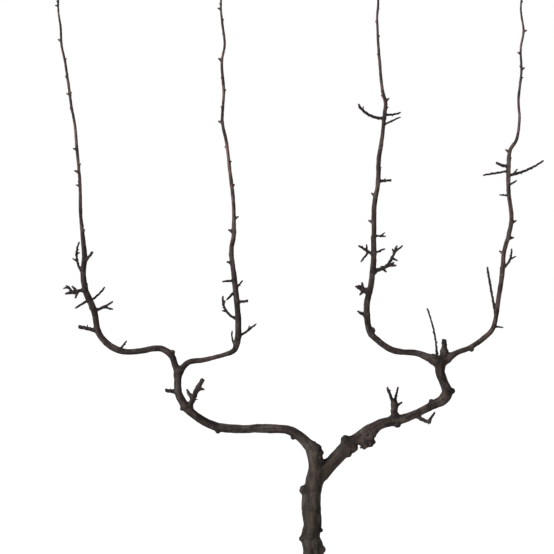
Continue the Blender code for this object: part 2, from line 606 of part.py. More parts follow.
def make_spur(item, paths, cutters, seed):
    """One spur, its twigs fused on, cut 0.3 mm clear of the limbs it stands by."""
    rng = np.random.default_rng(seed)
    path = paths[item.limb]
    nearest = path[np.argmin(np.hypot(path[:, 0] - item.base[0], path[:, 2] - item.base[1]))]
    base = (item.base[0], nearest[1], item.base[1])
    length = item.length + nearest[3] / 4
    points = curved_stem(base, item.heading, item.lean, length, item.curl)
    stem = stem_tube(item.name, points, item.thick, STEM_SIDES, item.blunt, seed)
    twigs = grow_twigs(item.name, item.twigs, points, item.heading, item.curl, item.lean,
                       item.thick, paths, rng)
    fused(stem, twigs)
    for name, axis in paths.items():
        away = np.linalg.norm(points[:, None, :] - axis[None, :, :3], axis=2)
        if np.any(away < axis[None, :, 3] / 2 + item.thick / 2 + CUTTER_REACH):
            cut_clear(stem, cutters[name])
    return stem


# ---- Materials and assembly ---------------------------------------------------------

def finished(piece, colour, roughness):
    """Gives a piece its own Principled material and smooth shading."""
    look = bpy.data.materials.new(piece.name)
    look.use_nodes = True
    shader = look.node_tree.nodes["Principled BSDF"]
    shader.inputs["Base Color"].default_value = colour
    shader.inputs["Roughness"].default_value = roughness
    shader.inputs["Metallic"].default_value = 0.0
    piece.data.materials.clear()
    piece.data.materials.append(look)
    piece.data.shade_smooth()
    piece.data.set_sharp_from_angle(angle=math.radians(SHARP_EDGE))


def build_tree():
    """Builds the limbs in the order in which they are carried, then the spurs."""
    paths = {}
    limbs = {}
    cutters = {}
    for route in ROUTES:
        start_depth = 0.0
        if route.carried_by:
            carrier = paths[route.carried_by[0]]
            away = np.hypot(carrier[:, 0] - route.start[0], carrier[:, 2] - route.start[1])
            start_depth = carrier[np.argmin(away), 1]
        routed = route_paths(route, start_depth)
        paths.update(routed)
        for index, limb in enumerate(route.limbs):
            first = index == 0
            last = index == len(route.limbs) - 1
            path = routed[limb.name]
            limbs[limb.name] = make_limb(limb, path, first, last)
            cutters[limb.name] = make_limb(limb, path, first, last, GAP)
            cutters[limb.name].name = f"{limb.name}_cutter"
            if first:
                for carrier in route.carried_by:
                    cut_clear(limbs[limb.name], cutters[carrier])
    spurs = []
    for index, item in enumerate(SPURS):
        spurs.append(make_spur(item, paths, cutters, SPUR_SEED + index))
    for cutter in cutters.values():
        removed(cutter)
    for name, limb in limbs.items():
        finished(limb, YOUNG_WOOD if name.endswith("leader") else WOOD, LIMB_ROUGHNESS)
    for spur_piece in spurs:
        finished(spur_piece, SPUR_WOOD, SPUR_ROUGHNESS)


for leftover in list(bpy.data.objects):
    bpy.data.objects.remove(leftover)
build_tree()
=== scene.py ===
"""The looks of a bare espaliered apple tree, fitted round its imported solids.

Every limb, spur and twig follows the solids' own routes and seeded rule. Each is a surface of
rings carried along its path, with the bark worked into it: ribs, cracks, wrinkles, lenticels,
healed cuts and buds. Where one grows out of another, both are pushed out to one smooth fillet.
Metres, +Z up. The arms stand in the X-Z plane and the tree's front faces -Y.
"""
import math
from collections import namedtuple

import bpy
import numpy as np
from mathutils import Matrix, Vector


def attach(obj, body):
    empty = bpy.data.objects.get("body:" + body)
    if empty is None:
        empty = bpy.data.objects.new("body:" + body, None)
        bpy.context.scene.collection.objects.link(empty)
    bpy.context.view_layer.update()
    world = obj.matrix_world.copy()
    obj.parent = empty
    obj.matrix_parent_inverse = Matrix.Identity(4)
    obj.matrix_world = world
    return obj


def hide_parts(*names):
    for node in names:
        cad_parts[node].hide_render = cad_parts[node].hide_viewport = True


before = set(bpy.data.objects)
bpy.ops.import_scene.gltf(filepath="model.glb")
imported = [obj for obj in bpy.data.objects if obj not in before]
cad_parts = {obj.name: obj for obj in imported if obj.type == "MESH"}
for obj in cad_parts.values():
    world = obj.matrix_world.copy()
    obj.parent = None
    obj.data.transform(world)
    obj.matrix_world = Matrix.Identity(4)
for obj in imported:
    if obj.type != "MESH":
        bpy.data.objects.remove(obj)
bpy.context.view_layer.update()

# ---- Driving dimensions -------------------------------------------------------------

FORK_HEIGHT = 0.350          # ground to the fork
LOWER_TIER = 0.433           # height of the level stretch of the left lower bough
UPPER_TIER = 0.597           # height of the upper pair of branches
ARM_SPACING = 0.300          # between neighbouring arms
LEFT_OUTER_LINE = -0.470     # plumb line that the leftmost arm is trained along
LEFT_INNER_LINE = LEFT_OUTER_LINE + ARM_SPACING
RIGHT_INNER_LINE = LEFT_INNER_LINE + ARM_SPACING
RIGHT_OUTER_LINE = RIGHT_INNER_LINE + ARM_SPACING
ARM_TOP = 1.435              # height of the arms' tips

FLARE_GAIN = 0.48            # how much wider the trunk is at the ground
FLARE_HEIGHT = 0.030         # height over which the root flare dies away
FLARE_LOBES = 4              # root ridges round the flare, how far they stand out, their turn
FLARE_LOBE_GAIN = 0.30
FLARE_LOBE_TURN = 0.9
COLLAR_GAIN = 0.30           # swelling of a limb where it leaves the one that carries it
COLLAR_LENGTH = 0.012
DEPTH_WANDER = 0.006         # how far a limb strays to the front or the back
WANDER_WAVES = (0.46, 0.21, 0.09)    # wavelengths of that stray; the short ones are weaker
WANDER_FALL = 0.8
DEPTH_FADE = 0.20            # length over which a limb leaves its carrier's own depth
BARK_WAVE = 0.035            # unevenness of a limb's girth, as a share of its radius
BARK_LOBES = ((2, 0.11), (3, 0.07))  # lobes round the girth and the length of one full turn
KNOB_RISE = 0.05             # how far a knob's middle stands off the limb's side, by its width

TWIG_SHARE = 0.78            # a twig's thickness, as a share of its stem's
TWIG_ROOT = 0.3              # how far a twig starts inside its stem, by the stem's thickness
TWIG_TILT = 24               # degrees that a twig may lean off its stem's own lean
TWIG_BEND = 14               # degrees that a twig may curl
TWIG_CLEARANCE = 0.0012      # a twig that would come nearer to a limb is left out
BLUNT_TAPER = 0.80           # a stem's thickness at its end: where it was cut, or at a bud
BUD_TAPER = 0.74
BUD_LENGTH = 0.0055          # of the bud on a tip
SPUR_SEED = 100              # the first spur's seed, and its bark's
BARK_SEED = 1000
SEED_STEP = 60               # from one spur's bark to the next
ROOT_POINTS = 6              # points at a stem's foot that may touch a limb

# ---- Rings and fillets ----------------------------------------------------------------

TINY = 1e-9                  # guards a comparison or a division
SPLINE_STEPS = 56            # steps of a limb's path from one station to the next
STEM_POINTS = 24             # points of a stem's path, and steps from one to the next
STEM_STEPS = 4
LIMB_GRID = {12: (160, 0.00085), 10: (98, 0.00076), 8: (76, 0.00076), 7: (52, 0.00072),
             5: (32, 0.00070)}    # points round a limb and its ring spacing, by the solid's sides
STEM_CELL = 0.00045          # ring spacing of a stem
STEM_SIDE_WIDTH = 0.0010     # width of a stem's side on the mesh
STEM_SIDES = (12, 64)        # fewest and most sides
FEWEST_RINGS = 6             # of a stem
DARD_SIDES = 8
FIELD_STEP = 0.0010          # spacing of the balls that fill a growth
FAR_OFF = 1.0                # distance that stands for no neighbour
BLOCK = 4000                 # points handled at once
HALVINGS = 9                 # of the stretch in which a point's place on a fillet lies
NEAR_GIRTH = 1.25            # a ring is near a neighbour within this share of its girth plus
NEAR_WIDTH = 1.5             # this share of the fillet's width and this margin
NEAR_MARGIN = 0.004
FIELD_WIDTH = 2.0            # the neighbour's balls count within this share of that width and
FIELD_MARGIN = 0.03          # this margin of the rings near it
FORK_BLEND = 0.32            # fillet widths, by the joining limb's, stem's or twig's thickness
SPUR_BLEND = 0.55
TWIG_BLEND = 0.55
LUMPY_BLEND = 0.95
KNOB_BLEND = 0.90            # the same by a knob's radius, and how far out it may push the bark
KNOB_REACH = 1.7
TILT_FADE = 1.2              # stretch before a sloping cut that tilts with it, by its radius
SHARP_EDGE = math.radians(72)    # only the discs that close a limb's ends are sharper

# ---- Bark -----------------------------------------------------------------------------

OLD_THICK = 0.034            # a limb this thick has full old bark
YOUNG_THICK = 0.006          # and one this thin has smooth young bark
SPUR_AGE = 0.42              # of the spurs on the boughs, and of the dark ones on the arms
ARM_SPUR_AGE = 0.04
SPUR_COAT = 0.00022          # bark on a spur, outside its solid
BROAD_SWELL = 0.034          # swellings, as shares of a limb's thickness, and how many of their
BROAD_RATE = (1.2, 1.2, 0.8)     # cells lie in its radius across it and its thickness along it
SMALL_SWELL = 0.022          # and the same of the small ones
SMALL_RATE = (2.4, 2.4, 2.0)
# One cell of each of the bark's noises, across the limb, across it and along it
BARK_CELLS = {
    "rib": (0.0075, 0.0075, 0.060), "fibre": (0.0032, 0.0032, 0.022),
    "plate": (0.0060, 0.0060, 0.0130), "patch": (0.022, 0.022, 0.050),
    "crack": (0.0046, 0.0046, 0.028), "check": (0.020, 0.020, 0.0036),
    "wrinkle": (0.012, 0.012, 0.0024), "fine": (0.0019, 0.0019, 0.0026)}
RIB_HEIGHT = 0.00100
FIBRE_HEIGHT = 0.00038
YOUNG_FIBRE = 0.25           # share of the fibres' height on young bark
PLATE_HEIGHT = 0.00046
PLATE_EDGE = 4.0             # how steep a plate's edge is
PATCH_RANGE = (-0.35, 0.45)  # noise between which a patch of bark goes from whole to cracked
CRACK_DEPTH = 0.00085
CRACK_WIDTH = 0.11           # of a crack along the limb, and of a check across it, in noise
CHECK_WIDTH = 0.12
CHECK_SHARE = 0.55           # a check's depth, by a crack's
WRINKLE_HEIGHT = 0.00010
OLD_WRINKLES = 0.6           # share of the wrinkles' height that old bark has lost
FINE_HEIGHT = 0.00007
LENTICEL_HEIGHT = 0.00020
LENTICEL_DASH = 0.0014       # half length of a lenticel, and of one on the leaders
LEADER_DASH = 0.0009
LENTICEL_FLAT = 0.4          # its half height, and the spacing of the rows, by that
LENTICEL_ROWS = 5.0
LENTICEL_CELL = 1.3          # room of each in its row, by the spacing of the rows
LENTICEL_CHANCE = (0.45, 0.95)   # draws between which a lenticel goes from absent to full
OLD_LENTICELS = 0.80         # share of the lenticels' strength that old bark has lost
RELIEF_SCALE = 0.00075       # height that counts as full relief in the colours, where painted highlight and shade are full
GRAIN_SHIFT = 0.37           # shift of the colours' grain from one seed to the next

# Joins: each side loses a share of its own bark and takes on noise in space and folds
JOIN_LOSS = 0.8
JOIN_NOISE = 0.00030
JOIN_CELL = 0.0035
JOIN_SEED = 5
FOLD_HEIGHT = 0.00016
FOLD_LENGTH = 0.0026
FOLD_FADE = 0.0045
JOIN_PAINTED_SHADE = 0.5             # how dark the painted shade along the join is, and how far from it that fades
JOIN_PAINTED_SHADE_FADE = 0.0016
CUT_LOSS = 0.7               # share of the bark's height that cut wood lacks

# Rings round the spurs, where buds once were
RING_HEIGHT = 0.00020
RING_LENGTH = 0.0022         # from one to the next on a spur, and on a dard
DARD_RING_LENGTH = 0.0016
RING_STRAY = 0.0006          # how far they wander, and the cells of the noises that they
RING_STRAY_CELL = (0.004, 0.004, 0.010)    # wander by and come and go by
RING_FADE_CELL = (0.010, 0.010, 0.006)
RING_SHADE = 0.6             # how dark the grooves between them are
RING_THICK = 0.008           # a stem this thick has them in full
LUMPY_RINGS = 0.25           # share of their height on the lumpy stems, and on the dards
DARD_RINGS = 0.4

# ---- Knobs, stems and lumps -------------------------------------------------------------

KNOB_ROUND = 0.92            # a knob's ball, by its width
SPURLET_WIDTH = 0.0105       # knobs of the arms narrower than this bear a fat bud, and are
SPURLET_SHARE = 0.80         # smaller by this
SPURLET_WAY = (0.85, 0.55)   # how far that bud points outward, and on along the limb
SPURLET_SEAT = 0.45          # how far out its foot is, by the knob's radius
SPURLET_BUD = (0.66, 0.50)   # its length and width, by the knob's width
SCAR_RIM = 0.05              # height of a scar's rim by the knob's radius, its angle off the
SCAR_RIM_ANGLE = 0.75        # knob's axis, and its width
SCAR_RIM_WIDTH = 0.30
SCAR_DIP = 0.12              # depth and width of its sunk middle
SCAR_DIP_WIDTH = 0.50
SCAR_REACH = (1.9, 1.2)      # how far from the knob's middle it begins and is full
SCAR_SHADE = 0.32            # how dark a knob is, and how much darker its dip
SCAR_DIP_SHADE = 0.36
STEM_SWAY = 0.05             # how crooked a stem is, by its thickness
SWAY_WAVES = (0.013, 0.010, 0.0115)    # along x, y and z, and the range of their phases
SWAY_PHASES = (0, 6)
SWAY_FADE = 0.004            # stretch in which it begins
BUD_ROOM = 0.75              # share of the tip bud's length that is taken off its shoot
LEAST_SHOOT = 0.4            # but at least this share of the shoot stays
CUT_TILT = 0.35              # how far a cut may slope
KNUCKLE_FIRST = (0.004, 0.009)       # where a stem's first swelling is, how far the others lie
KNUCKLE_SPACING = (0.006, 0.011)     # apart, and how much wider the stem is there
KNUCKLE_SWELL = (0.06, 0.20)
KNUCKLE_LENGTH = 0.30        # half length, by the stem's thickness
LUMPY_STEMS = {"left_bough_stub": 0.090, "right_bough_burr": 0.150,
               "right_head_stub": 0.080}    # height of the lumps, by the stem's thickness
LUMP_SIZE = 0.42             # of the lumps, by the stem's thickness
LUMP_LEVEL = 0.5             # where the bark lies between a crease and a lump's top
CREASE_WIDTH = 0.05          # in noise, and how dark the painted shade in it is
CREASE_PAINTED_SHADE = 0.75
TOP_SHADE = 0.62             # how dark the lumpy stems get, and between which shares of them
TOP_RANGE = (0.35, 0.85)
LUMPY_GRAIN = (1.0, 1.0, 4.0)    # their bark is mottled in space, not streaked along them
DOME_RISE = 0.62             # of a dome over its stem's end, by the end's radius
YEAR_RINGS = 5               # ridges where one year's growth ended
YEAR_RING_STEP = 0.0021
YEAR_RIDGE = 0.0007          # half length of a ridge and of the dark groove after it
YEAR_GROOVE = 0.0005
YEAR_SHADE = 0.5
# Where on a leader and an upright they lie, by its length, and how high they are
YEAR_MARKS = {"leader": ((0.012, 0.46), 0.00030), "upright": ((0.55,), 0.00032)}
LOOKS = ("relief", "crack", "age", "cut", "spot")    # marks that the finishes read

# ---- Dards and buds -------------------------------------------------------------------

STOUT_STEM = 0.0060          # thicker stems than this bear more dards, slimmer ones mostly buds
SHORT_STEM = 0.018           # stems shorter than this bear nothing finer than their tip bud
FINE_FROM = (0.30, 0.010)    # the first stands at this share of the stem or this far up, and
FINE_STOP = 0.006            # the last this far under its end
FINE_SPACING = (0.011, 0.022)    # between one dard or bud and the next
FINE_TURN = (34, 70)         # degrees that each stands off its stem, to either side
FINE_TILT = 60               # degrees that it may lean off the stem's own lean, and curl
FINE_BEND = 30
DARD_SHARE = 0.50            # share of dards among them on a stout stem, and on a slim one
SLIM_DARD_SHARE = 0.08
DARD_LENGTH = (0.0024, 0.0050)
DARD_THICK = 0.0024
DARD_SLIM = 0.55             # a dard's greatest share of its stem's thickness
FINE_SEED = 40               # from a spur's own seed to its first dard's
SIDE_BUD = (0.0034, 0.0023)      # length and width
SIDE_BUD_SEAT = 0.80         # how far out its foot is, by its stem's radius
SIDE_BUD_WAY = (0.80, 0.60)  # how far it points on along its stem, and outward
TIP_BUD_WIDTH = 0.0029       # least and greatest width of a bud on a tip
TIP_BUD_WIDEST = 0.0050
TIP_BUD_SHARE = 0.88         # its width between those, by the shoot's thickness
TIP_BUD_SINK = 0.0012        # how deep it sits in its shoot, and in a leader
LEADER_BUD_SINK = 0.001
THIN_SHOOT = 0.002           # a thinner shoot's bud has this share of the usual size
THIN_BUD = 0.72
# Spacing of the buds up an arm, their length and their width
NODES = {"leader": (0.030, 0.0046, 0.0026), "upright": (0.042, 0.0030, 0.0024)}
NODE_SPREAD = (0.75, 1.3)    # how uneven that spacing is, and how uneven their size
NODE_SIZES = (0.85, 1.2)
NODE_STOP = 0.012            # how far under the arm's end they stop
NODE_TURN = 0.4              # share of a turn from one to the next, and radians it may be out
NODE_JITTER = 0.35
NODE_SEAT = 0.86             # how far out a bud's foot is, by the arm's radius
NODE_WAY = (0.86, 0.50)      # how far it points on along the arm, and outward
NODE_SWELL = 0.085           # height and half width of its swelling by the arm's thickness,
NODE_SWELL_WIDTH = 0.36      # its half length, and how far under the bud it lies
NODE_SWELL_LENGTH = 0.0034
NODE_SWELL_DROP = 0.0015
LEAF_SCAR_SHADE = 0.9        # the same of its leaf scar, which is only dark
LEAF_SCAR_WIDTH = 0.26
LEAF_SCAR_LENGTH = 0.0008
LEAF_SCAR_DROP = 0.0016
BUD_RINGS = 15               # of a bud's mesh
BUD_SIDES = 12
BUD_END = 0.985              # share of a bud's length at its last ring
BUD_POINT = 0.55             # how pointed it is, how wide its foot is, how much it swells, and
BUD_FOOT = 0.76              # the greatest value that these give
BUD_GAIN = 0.80
BUD_PEAK = 0.86
BUD_ROWS = 3.2               # rows of scales, and how far a scale's edge stands out
BUD_SCALE_EDGE = 0.16
BUD_CURVE = 0.10             # how far its tip bends aside, by its length
SCALE_PAINTED_SHADE_FROM = 0.82      # share of a scale from which it lies in painted shade under the next scale's edge

# Rings that close an end: each ring's radius and how far on it lies, by the end's radius, how
# much of it is cut wood, and how dark it is
ROUND_END = ((0.96, 0.25, 0, 0), (0.84, 0.50, 0, 0), (0.62, 0.72, 0, 0), (0.34, 0.86, 0, 0),
             (0.12, 0.91, 0, 0))
DOME_END = ((0.98, 0.16, 0, 0), (0.93, 0.34, 0, 0), (0.84, 0.50, 0.1, 0.1),
            (0.70, 0.62, 0.4, 0.5), (0.52, 0.66, 0.8, 0.7), (0.30, 0.64, 1, 0.5),
            (0.10, 0.62, 1, 0.6))
CUT_END = ((1.00, 0.06, 0, 0), (0.97, 0.13, 0, 0), (0.91, 0.17, 0, 0.3), (0.85, 0.16, 0.2, 0.8),
           (0.80, 0.11, 1, 0.2), (0.66, 0.08, 1, 0), (0.48, 0.05, 1, 0), (0.28, 0.03, 1, 0),
           (0.10, 0.00, 1, 0.6))

# ---- Colours: linear reflectances -------------------------------------------------------

BARK_TONES = {
    "deep": (0.0082, 0.0050, 0.0042), "brown": (0.0262, 0.0160, 0.0134),
    # the tone after grey is painted light on bark that faces up
    "grey": (0.0370, 0.0262, 0.0234), "painted_top_light": (0.0390, 0.0280, 0.0260),
    # ridge is a painted highlight on raised bark, the tone after it painted shade in low bark;
    # specks, pits and furrows reuse them
    "ridge": (0.0570, 0.0410, 0.0350), "hollow_shade_and_furrows": (0.0048, 0.0030, 0.0024),
    "young_deep": (0.0230, 0.0122, 0.0105), "young": (0.1480, 0.0900, 0.0740),
    "moss": (0.0330, 0.0290, 0.0165), "lenticel": (0.1350, 0.1040, 0.0850),
    "stain": (0.0085, 0.0046, 0.0038), "pale": (0.0900, 0.0720, 0.0640),
    # crack is the dark of cracks, grooves and scars, also painted shade at joins and in creases
    "crack": (0.0036, 0.0023, 0.0019), "cut": (0.0400, 0.0220, 0.0150),
    "cut_dark": (0.0130, 0.0078, 0.0058)}
SPUR_TONES = dict(BARK_TONES, deep=(0.0085, 0.0056, 0.0050), brown=(0.0235, 0.0157, 0.0133),
                  # the tone after grey is painted light on the spurs' upward faces
                  grey=(0.0370, 0.0276, 0.0252), painted_top_light=(0.0410, 0.0315, 0.0300),
                  # ridge is the painted highlight tone on the spurs' raised bark
                  ridge=(0.0500, 0.0365, 0.0315), moss=(0.0240, 0.0215, 0.0130),
                  young=(0.0150, 0.0108, 0.0098), young_deep=(0.0052, 0.0034, 0.0030))
BUD_TONES = {
    # the second tone is painted shade where a scale sinks under the next
    "scale": (0.0380, 0.0190, 0.0150), "scale_painted_shade": (0.0110, 0.0060, 0.0050),
    "scale_grey": (0.0280, 0.0215, 0.0200), "down": (0.0540, 0.0420, 0.0380),
    # crack is painted shade under each scale's edge
    "crack": (0.0045, 0.0030, 0.0025)}

# Noises of the finishes: scale across and along, detail, and whether they follow the grain
NOISES = {
    "streaks": ((230, 230, 24), 7.0, True), "bands": ((105, 105, 13), 5.0, True),
    "furrows": ((330, 330, 30), 5.0, True), "fine": ((1100, 1100, 420), 5.0, True),
    "blotches": ((52, 52, 40), 6.0, False), "stains": ((33, 33, 26), 4.0, False),
    "scurf": ((70, 70, 48), 5.0, False)}
MOTTLE = ((700, 700, 700), 3.0)    # of the buds
OLD_FROM = 0.10              # age from which a limb has the tones of old bark
MOSS_RANGE = (0.440, 0.340)  # heights between which olive algae sets in on the bark
# Layers of colour: the values between which each sets in, and how strong it is at both
LAYERS = {
    "streaks": (0.40, 0.62, 0.0, 0.50), "bands": (0.40, 0.60, 0.0, 0.50),
    "young_streaks": (0.38, 0.60, 0.0, 1.0), "grown": (0.0, OLD_FROM, 0.0, 1.0),
    "grey": (0.47, 0.62, 0.0, 0.80), "upward": (-0.1, 0.9, 0.0, 1.0),
    # the first layer here is painted light on bark that faces up, in streaks
    "painted_top_light": (0.40, 0.60, 0.05, 0.70), "stain": (0.48, 0.55, 0.0, 0.70),
    # ridge here is the painted highlight on raised bark, by relief
    "scurf": (0.50, 0.60, 0.0, 0.38), "ridge": (0.0, 0.9, 0.0, 0.50),
    # the first layer here is painted shade in low bark, by relief
    "hollow_shade_and_furrows": (-0.05, -0.95, 0.0, 0.65), "furrow": (0.47, 0.36, 0.0, 0.85),
    "low": (*MOSS_RANGE, 0.0, 1.0), "moss": (0.40, 0.62, 0.08, 0.60),
    "speck": (0.53, 0.68, 0.0, 1.0), "pit": (0.46, 0.34, 0.0, 1.0),
    "saw_ring": (-0.6, 0.8, 0.0, 0.6), "saw_pit": (0.45, 0.62, 0.0, 1.0),
    # scale carries painted light and shade across each scale by its relief
    "scale": (-0.8, 0.8, 0.0, 1.0), "scale_grey": (0.45, 0.68, 0.0, 0.6),
    "tip": (0.35, 1.0, 0.0, 1.0), "down": (0.3, 0.6, 0.35, 0.8),
    "scale_rough": (0.3, 0.7, 0.55, 0.80)}
SPOT_STRENGTH = 0.70         # how strongly lenticels and cracks, and the painted shade under bud scales' edges, tint what is there
CRACK_STRENGTH = 0.85
SCALE_EDGE_SHADE_STRENGTH = 0.70
SAW_RATE = 7500.0            # radians of the saw rings per metre from a stem's middle
ROUGH_RANGE = (0.3, 0.7)     # noise between which the bark goes from smoother to rougher
ROUGH_SPREAD = (-0.10, 0.06)
BARK_RISE = {"fine": 0.55, "streaks": 0.40}    # what its finest relief is made of
BARK_BUMP = (0.80, 0.0009)   # strength and distance of that relief, and of the buds'
BUD_BUMP = (0.4, 0.0003)
BARK_SHINE = {"Specular IOR Level": 0.22}    # constants of the finishes' shaders
BUD_SHINE = {"Specular IOR Level": 0.25, "Sheen Weight": 0.12, "Sheen Roughness": 0.5}

# ---- Floor, light and camera values -----------------------------------------------------

WHITE = (1.0, 1.0, 1.0, 1.0)
FLOOR_WIDTH = 60.0
FLOOR_FINISH = {"Base Color": (0.95, 0.95, 0.95, 1.0), "Roughness": 0.9,
                "Specular IOR Level": 0.0}
ROOM_STRENGTH = 0.25         # how brightly the white room lights the tree
KEY_STRENGTH = 5.4
KEY_ANGLE = 30               # degrees across
KEY_PLACE = (-2.9, -1.95, 2.35)
LAMP_TARGET = (0.0, 0.0, 0.6)    # both lamps look at it
BACK_STRENGTH = 1.7
BACK_ANGLE = 50
BACK_PLACE = (0.3, 4.2, 1.4)
LENS = 100.0
SENSOR = 36.0
CLIP_END = 60.0
UNIT = 0.0021                # the view is 554 units wide, with the trunk 312 from its left edge
VIEW_WIDTH = 554 * UNIT
VIEW_X = (554 / 2 - 312) * UNIT
VIEW_FOOT = 0.170            # height of the view's lower edge
VIEW_Z = VIEW_FOOT + VIEW_WIDTH / 2
VIEW_DISTANCE = VIEW_WIDTH * LENS / SENSOR

# ---- Limbs --------------------------------------------------------------------------
# A route is a chain of limbs that grow on from one another. Each limb passes through its
# stations: x, height, and its thickness there. The next limb starts where it ends.

Limb = namedtuple("Limb", "name sides stations")
Route = namedtuple("Route", "carried_by seed start limbs")


def trained(line, *stations):
    """Stations of an arm, given as its sway off the plumb line, height and thickness."""
    return [(line + sway, height, thick) for sway, height, thick in stations]


ROUTES = [
    Route((), 11, (0.000, 0.000, 0.0430), [
        Limb("trunk", 12, [
            (0.000, 0.040, 0.0400), (-0.001, 0.110, 0.0380), (0.002, 0.177, 0.0410),
            (-0.002, 0.207, 0.0370), (0.001, 0.230, 0.0370), (0.000, 0.267, 0.0385),
            (0.001, 0.297, 0.0370), (0.005, 0.327, 0.0330), (0.006, FORK_HEIGHT, 0.0285)]),
        Limb("left_lower_bough", 10, [
            (0.005, 0.364, 0.0262), (0.001, 0.382, 0.0245), (-0.008, 0.400, 0.0228),
            (-0.024, 0.415, 0.0214), (-0.045, 0.428, 0.0198), (-0.074, LOWER_TIER, 0.0182),
            (-0.176, LOWER_TIER, 0.0180), (-0.212, 0.442, 0.0182), (-0.239, 0.457, 0.0180)]),
        Limb("left_riser", 8, [
            (-0.259, 0.474, 0.0188), (-0.273, 0.494, 0.0176), (-0.281, 0.514, 0.0158),
            (-0.282, 0.551, 0.0152)]),
        Limb("left_outer_branch", 7, [
            (-0.288, 0.570, 0.0142), (-0.296, 0.588, 0.0136), (-0.312, 0.600, 0.0126),
            (-0.333, 0.602, 0.0124), (-0.357, UPPER_TIER, 0.0128),
            (-0.386, UPPER_TIER - 0.002, 0.0130), (-0.408, 0.599, 0.0134)]),
        Limb("left_outer_upright", 7, trained(
            LEFT_OUTER_LINE, (0.039, 0.612, 0.0136), (0.020, 0.637, 0.0135),
            (0.014, 0.672, 0.0132), (0.007, 0.694, 0.0132), (-0.005, 0.722, 0.0130),
            (-0.009, 0.757, 0.0124), (-0.007, 0.796, 0.0112), (-0.010, 0.836, 0.0090),
            (-0.015, 0.880, 0.0074))),
        Limb("left_outer_leader", 5, trained(
            LEFT_OUTER_LINE, (-0.016, 0.945, 0.0068), (-0.023, 1.015, 0.0066),
            (-0.029, 1.071, 0.0062), (-0.037, 1.121, 0.0058), (-0.046, 1.193, 0.0054),
            (-0.055, 1.236, 0.0049), (-0.057, 1.275, 0.0046), (-0.062, 1.322, 0.0042),
            (-0.059, ARM_TOP - 0.005, 0.0028)))]),
    Route(("left_riser", "left_outer_branch"), 12, (-0.281, 0.546, 0.0124), [
        Limb("left_inner_branch", 7, [
            (-0.270, 0.563, 0.0114), (-0.255, 0.574, 0.0112), (-0.227, 0.578, 0.0100),
            (-0.187, 0.588, 0.0100), (-0.165, 0.597, 0.0118)]),
        Limb("left_inner_upright", 7, trained(
            LEFT_INNER_LINE, (0.013, 0.615, 0.0134), (0.016, 0.641, 0.0132),
            (0.013, 0.695, 0.0126), (0.006, 0.756, 0.0110), (0.001, 0.808, 0.0098),
            (0.006, 0.842, 0.0092), (0.005, 0.909, 0.0080))),
        Limb("left_inner_leader", 5, trained(
            LEFT_INNER_LINE, (-0.001, 0.962, 0.0076), (-0.009, 1.031, 0.0068),
            (-0.018, 1.079, 0.0064), (-0.015, 1.136, 0.0060), (-0.019, 1.199, 0.0056),
            (-0.013, 1.240, 0.0052), (-0.019, 1.290, 0.0048), (-0.021, 1.330, 0.0044),
            (-0.015, ARM_TOP + 0.010, 0.0030)))]),
    Route(("trunk", "left_lower_bough"), 13, (0.003, 0.325, 0.0230), [
        Limb("right_lower_bough", 10, [
            (0.020, 0.340, 0.0262), (0.038, 0.357, 0.0284), (0.058, 0.380, 0.0286),
            (0.077, 0.400, 0.0244), (0.097, 0.414, 0.0206), (0.129, 0.434, 0.0206),
            (0.152, 0.444, 0.0204), (0.182, 0.451, 0.0194), (0.209, 0.459, 0.0182),
            (0.238, 0.473, 0.0172), (0.257, 0.483, 0.0182), (0.274, 0.492, 0.0212)]),
        Limb("right_riser", 10, [
            (0.284, 0.509, 0.0238), (0.275, 0.534, 0.0194), (0.269, 0.556, 0.0214),
            (0.272, 0.586, 0.0215)])]),
    Route(("right_riser",), 14, (0.270, 0.573, 0.0165), [
        Limb("right_inner_branch", 7, [
            (0.244, 0.583, 0.0160), (0.217, 0.592, 0.0134), (0.184, 0.595, 0.0128),
            (0.163, 0.601, 0.0130), (0.140, 0.617, 0.0136)]),
        Limb("right_inner_upright", 7, trained(
            RIGHT_INNER_LINE, (-0.008, 0.637, 0.0138), (-0.014, 0.667, 0.0132),
            (-0.013, 0.700, 0.0130), (-0.005, 0.741, 0.0126), (-0.001, 0.781, 0.0118),
            (0.000, 0.836, 0.0110), (0.001, 0.903, 0.0102))),
        Limb("right_inner_leader", 5, trained(
            RIGHT_INNER_LINE, (0.009, 0.951, 0.0098), (0.010, 0.997, 0.0094),
            (0.017, 1.039, 0.0086), (0.024, 1.100, 0.0078), (0.025, 1.120, 0.0075),
            (0.018, 1.148, 0.0069), (0.012, 1.207, 0.0061), (0.007, 1.290, 0.0053),
            (0.009, 1.330, 0.0047), (0.006, ARM_TOP - 0.018, 0.0030)))]),
    Route(("right_riser", "right_inner_branch"), 15, (0.274, 0.573, 0.0135), [
        Limb("right_outer_branch", 7, [
            (0.292, 0.586, 0.0132), (0.307, 0.594, 0.0112), (0.332, 0.603, 0.0110),
            (0.359, 0.621, 0.0104)]),
        Limb("right_outer_upright", 7, trained(
            RIGHT_OUTER_LINE, (-0.050, 0.642, 0.0103), (-0.042, 0.670, 0.0098),
            (-0.035, 0.720, 0.0100), (-0.027, 0.771, 0.0098), (-0.025, 0.804, 0.0094),
            (-0.015, 0.840, 0.0092), (-0.010, 0.876, 0.0090))),
        Limb("right_outer_leader", 5, trained(
            RIGHT_OUTER_LINE, (-0.017, 0.928, 0.0088), (-0.017, 0.976, 0.0090),
            (-0.014, 1.016, 0.0084), (0.001, 1.042, 0.0064), (0.006, 1.084, 0.0058),
            (0.005, 1.128, 0.0055), (0.012, 1.188, 0.0050), (0.011, 1.233, 0.0047),
            (0.016, 1.270, 0.0045), (0.011, 1.304, 0.0042), (0.010, 1.330, 0.0040),
            (0.016, ARM_TOP, 0.0028)))]),
]

# ---- Knobs --------------------------------------------------------------------------
# Healed cuts and swellings fused into a limb: x, height, width and forward reach. A knob sits
# on the limb's side in the direction of its x and height, turned to the front by its reach.

